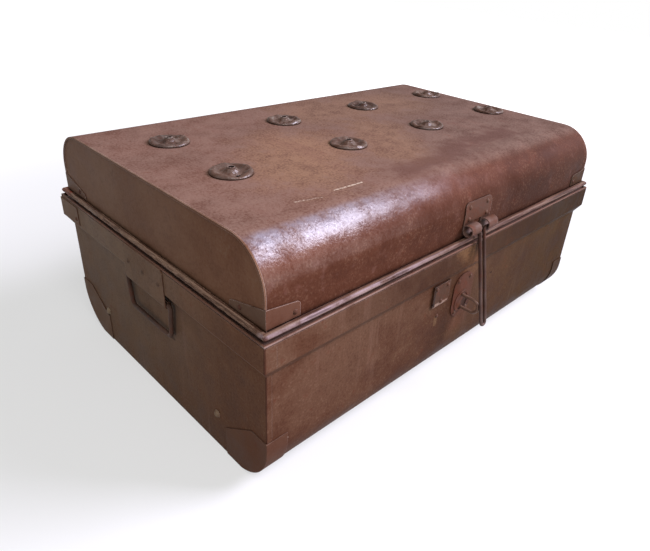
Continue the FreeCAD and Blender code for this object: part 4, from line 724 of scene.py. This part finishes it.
# Crimps as (waves round the boss, height), and how far out, wide and deep the knocks are
CRIMPS = ((2, 0.6), (3, 0.6), (5, 0.6), (9, 0.4))
KNOCKS = 9
KNOCK_PLACES, KNOCK_WIDTHS, KNOCK_DEPTHS = (12, 24), (2, 4.5), (0.8, 2.0)
# Where the dents begin, over what width they grow, and over what width they fade at the rim
DENTS_FROM, DENTS_GROW, DENTS_FADE = 6, 8, 3


def dent_field(seed):
    """Crimps round the ring and a few knocks, as a height in millimetres at a radius and an angle."""
    draw = random.Random(seed)
    waves = [(count, draw.uniform(0, math.tau), size) for count, size in CRIMPS]
    knocks = [(draw.uniform(*KNOCK_PLACES), draw.uniform(0, math.tau),
               draw.uniform(*KNOCK_WIDTHS), draw.uniform(*KNOCK_DEPTHS)) for knock in range(KNOCKS)]

    def height(radius, angle):
        inner = min(1, max(0, (radius - DENTS_FROM) / DENTS_GROW))
        outer = min(1, max(0, (BOSS_RADIUS - radius) / DENTS_FADE))
        rise = sum(size * math.sin(count * angle + start) for count, start, size in waves)
        for far, turn, spread, depth in knocks:
            gap = math.hypot(radius * math.cos(angle) - far * math.cos(turn),
                             radius * math.sin(angle) - far * math.sin(turn))
            rise -= depth * math.exp(-(gap / spread) ** 2)
        return inner * outer * rise
    return height


def make_boss(node, seed, material):
    """A pressed boss in place of the plain one, crimped and knocked about."""
    centre, floor = middle(node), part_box(node)[0][2]
    dents = dent_field(seed)
    under = [(min(radius, BOSS_RADIUS - BOSS_SHEET), max(0, height - BOSS_SHEET))
             for radius, height in reversed(BOSS_TOP)]
    rings = list(BOSS_TOP) + under
    points = []
    for radius, height in rings:
        for step in range(BOSS_STEPS):
            angle = step * math.tau / BOSS_STEPS
            lift = max(0, height + dents(radius, angle))
            points.append(round_point(centre, floor, radius, angle, lift))
    piece = make_piece(f"dented_{node}", points, ring_faces(len(rings), BOSS_STEPS), material)
    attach(piece, "lid")
    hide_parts(node)


# The hollow rivets; from ring KNOB_HOLLOW on, the profile goes down into the bore, which is painted dark as
# shade
KNOB_STEPS = 32
KNOB = ((1.6, -2.8), (2.6, -2.8), (2.6, -1.05), (1.6, -1.05), (1.6, 5.6), (1.6, 6.5), (4.8, 6.5), (5.1, 7.0),
        (5.0, 7.6), (4.7, 7.95), (4.3, 8.0), (4.0, 7.75), (3.8, 7.1), (3.4, 5.9), (0.02, 5.7))
KNOB_HOLLOW = 11


def make_knobs(centres, floor, material, dark):
    """The hollow rivets in the bosses' middles, their bores painted dark as shade."""
    points, faces, in_hollow = [], [], []
    for centre in centres:
        first = len(points)
        for radius, height in KNOB:
            for step in range(KNOB_STEPS):
                points.append(round_point(centre, floor, radius, step * math.tau / KNOB_STEPS, height))
        faces += ring_faces(len(KNOB), KNOB_STEPS, first, closed=False, flipped=True)
        for ring in range(len(KNOB) - 1):
            in_hollow += [ring >= KNOB_HOLLOW] * KNOB_STEPS
        for ring in (0, len(KNOB) - 1):
            loop = [first + ring * KNOB_STEPS + step for step in range(KNOB_STEPS)]
            faces.append(tuple(loop if ring else reversed(loop)))
            in_hollow.append(ring > 0)
    piece = make_piece("hollow_boss_rivets", points, faces, material, dark)
    for face, hollow in zip(piece.data.polygons, in_hollow):
        face.material_index = int(hollow)
    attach(piece, "lid")
    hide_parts("boss_rivets")


def make_bosses(finishes):
    nodes = [f"lid_boss_{row}_{column}" for row in ("rear", "front") for column in range(1, 5)]
    for number, node in enumerate(nodes, 1):
        make_boss(node, BOSS_SEED + number, finishes["boss_paint"])
    make_knobs([middle(node) for node in nodes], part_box(nodes[0])[0][2], finishes["boss_rivets"],
               finishes["bore"])


# ---------------------------------------------------------------- crinkled edge of the lid
# Points in each ring round the edge, and how far one ring is from the next
BEAD_STEPS = 32
BEAD_STATION = 0.004
# Towards a corner the creases calm down over this length, and the edge sinks by this many millimetres
BEAD_CALM = 0.012
CORNER_SINK = 0.5
KINK_SEED, WANDER_SEED = 70, 80
KINKS = 7
KINK_LENGTHS = (0.007, 0.03)
# Folds along the edge, as (degrees up from outwards, degrees wide), and how far they wander
FOLDS = ((28, 7), (66, 8), (100, 6))
FOLD_WANDER = 14
# Each side: the way it looks, depth of its kinks and depth of its folds in millimetres
BEAD_SIDES = (((-1, 0), 0.55, 0.5), ((0, -1), 0.22, 0.12), ((1, 0), 0.25, 0.15), ((0, 1), 0.12, 0.05))


def crinkle_field(seed):
    """Kinks that run round and along the rolled edge, between -1 and 1."""
    draw = random.Random(seed)
    waves = [(math.tau / draw.uniform(*KINK_LENGTHS), draw.randint(-2, 2), draw.uniform(0, math.tau))
             for wave in range(KINKS)]

    def kink(along, angle):
        heights = [math.sin(rate * along + turns * angle + start) for rate, turns, start in waves]
        return sum(heights) / len(heights)
    return kink


def make_bead(material):
    """The lid's rolled edge, crinkled and creased along its length, inside the plain one."""
    points = []
    for number, (outward, kinks, folds) in enumerate(BEAD_SIDES):
        kink, wander = crinkle_field(KINK_SEED + number), crinkle_field(WANDER_SEED + number)
        onward = (-outward[1], outward[0])
        away, half = BEAD_REACH if outward[0] else reversed(BEAD_REACH)
        stations = round(2 * half / BEAD_STATION)
        for station in range(stations):
            along = -half + 2 * half * station / stations
            calm = min(1, (half - abs(along)) / BEAD_CALM)
            for step in range(BEAD_STEPS):
                angle = step * math.tau / BEAD_STEPS
                sunk = kinks * calm * (1 + kink(along, angle)) + CORNER_SINK * (1 - calm)
                for place, spread in FOLDS:
                    gap = math.degrees(angle) - place - FOLD_WANDER * calm * wander(along, 0)
                    sunk += folds * calm * math.exp(-(gap / spread) ** 2)
                size = BEAD_RADIUS - sunk * MILLIMETRE
                out = size * math.cos(angle)
                slide = along * (half + out) / half
                points.append((outward[0] * (away + out) + onward[0] * slide,
                               outward[1] * (away + out) + onward[1] * slide,
                               BEAD_LEVEL + size * math.sin(angle)))
    faces = ring_faces(len(points) // BEAD_STEPS, BEAD_STEPS)
    piece = make_piece("crinkled_lid_bead", points, faces, material)
    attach(piece, "lid")
    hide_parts("lid_bead")


# ---------------------------------------------------------------- floor and light
FLOOR_SIZE = 12.0
FLOOR_DROP = 0.0006
FLOOR_GREY = 0.42
# The floor's own glow near the trunk, how much more it gets farther out, and from where to where
FLOOR_GLOW_NEAR, FLOOR_GLOW_MORE = 0.5, 0.6
FLOOR_GLOW_STRETCH = (0.7, 2.2)
# The world's brightness for light that bounces, where the camera sees 1
AMBIENT = 0.26


def seen_directly(tree):
    """1 for what the camera, a reflection or glass looks at, 0 for light that only bounces."""
    rays = put(tree, "ShaderNodeLightPath").outputs
    seen = maths(tree, "MAXIMUM", rays["Is Camera Ray"], rays["Is Glossy Ray"])
    return maths(tree, "MAXIMUM", seen, rays["Is Transmission Ray"])


def make_floor():
    """A pale floor that looks white but for the object's shadow, and runs into the white behind it."""
    half = FLOOR_SIZE / 2
    mesh = bpy.data.meshes.new("floor")
    mesh.from_pydata([(-half, -half, -FLOOR_DROP), (half, -half, -FLOOR_DROP),
                      (half, half, -FLOOR_DROP), (-half, half, -FLOOR_DROP)], [], [(0, 1, 2, 3)])
    material = bpy.data.materials.new("floor")
    material.use_nodes = True
    tree = material.node_tree
    shader = tree.nodes["Principled BSDF"]
    shader.inputs["Base Color"].default_value = (FLOOR_GREY, FLOOR_GREY, FLOOR_GREY, 1.0)
    shader.inputs["Roughness"].default_value = 1.0
    shader.inputs["Specular IOR Level"].default_value = 0.0
    shader.inputs["Emission Color"].default_value = (1.0, 1.0, 1.0, 1.0)
    place = put(tree, "ShaderNodeTexCoord").outputs["Object"]
    from_middle = vectors(tree, "DISTANCE", place, (0.0, 0.0, 0.0)).outputs["Value"]
    far = ramp(tree, from_middle, *FLOOR_GLOW_STRETCH)
    glow = maths(tree, "ADD", times(tree, far, FLOOR_GLOW_MORE), FLOOR_GLOW_NEAR)
    tree.links.new(times(tree, glow, seen_directly(tree)), shader.inputs["Emission Strength"])
    floor = bpy.data.objects.new("floor", mesh)
    mesh.materials.append(material)
    bpy.context.scene.collection.objects.link(floor)


def make_world():
    """White to the camera and to reflections, a soft even light otherwise."""
    world = bpy.data.worlds.new("world")
    bpy.context.scene.world = world
    world.use_nodes = True
    tree = world.node_tree
    tree.nodes.clear()
    strength = maths(tree, "ADD", times(tree, seen_directly(tree), 1 - AMBIENT), AMBIENT)
    glow = put(tree, "ShaderNodeBackground", {"Color": (1, 1, 1, 1), "Strength": strength})
    out = put(tree, "ShaderNodeOutputWorld")
    tree.links.new(glow.outputs[0], out.inputs[0])


# Each light: name, place, what it aims at, width and height, watts, colour
LIGHTS = (
    ("window", (3.6, -3.07, 3.85), (-0.1, -0.1, 0.25), (2.34, 2.9), 560, (0.86, 0.83, 1.0)),
    ("key", (-0.8, -1.25, 1.75), (-0.3, -0.1, 0.2), (1.0, 1.0), 16, (1, 1, 1)),
    ("fill", (-2.2, -0.5, 1.2), (0, 0, 0.15), (1.5, 1.5), 3, (1, 1, 1)),
)


def area_light(name, place, aim, size, watts, colour):
    data = bpy.data.lights.new(name, "AREA")
    data.shape = "RECTANGLE"
    data.size, data.size_y = size
    data.energy = watts
    data.color = colour
    light = bpy.data.objects.new(name, data)
    light.location = place
    light.rotation_mode = "QUATERNION"
    light.rotation_quaternion = (Vector(aim) - Vector(place)).to_track_quat("-Z", "Y")
    bpy.context.scene.collection.objects.link(light)


bpy.context.scene.view_settings.view_transform = "Standard"
make_camera()
make_floor()
make_world()
for light_settings in LIGHTS:
    area_light(*light_settings)
all_finishes = make_finishes()
dress_solids(all_finishes)
make_bead(all_finishes["lid_bead"])
make_bosses(all_finishes)
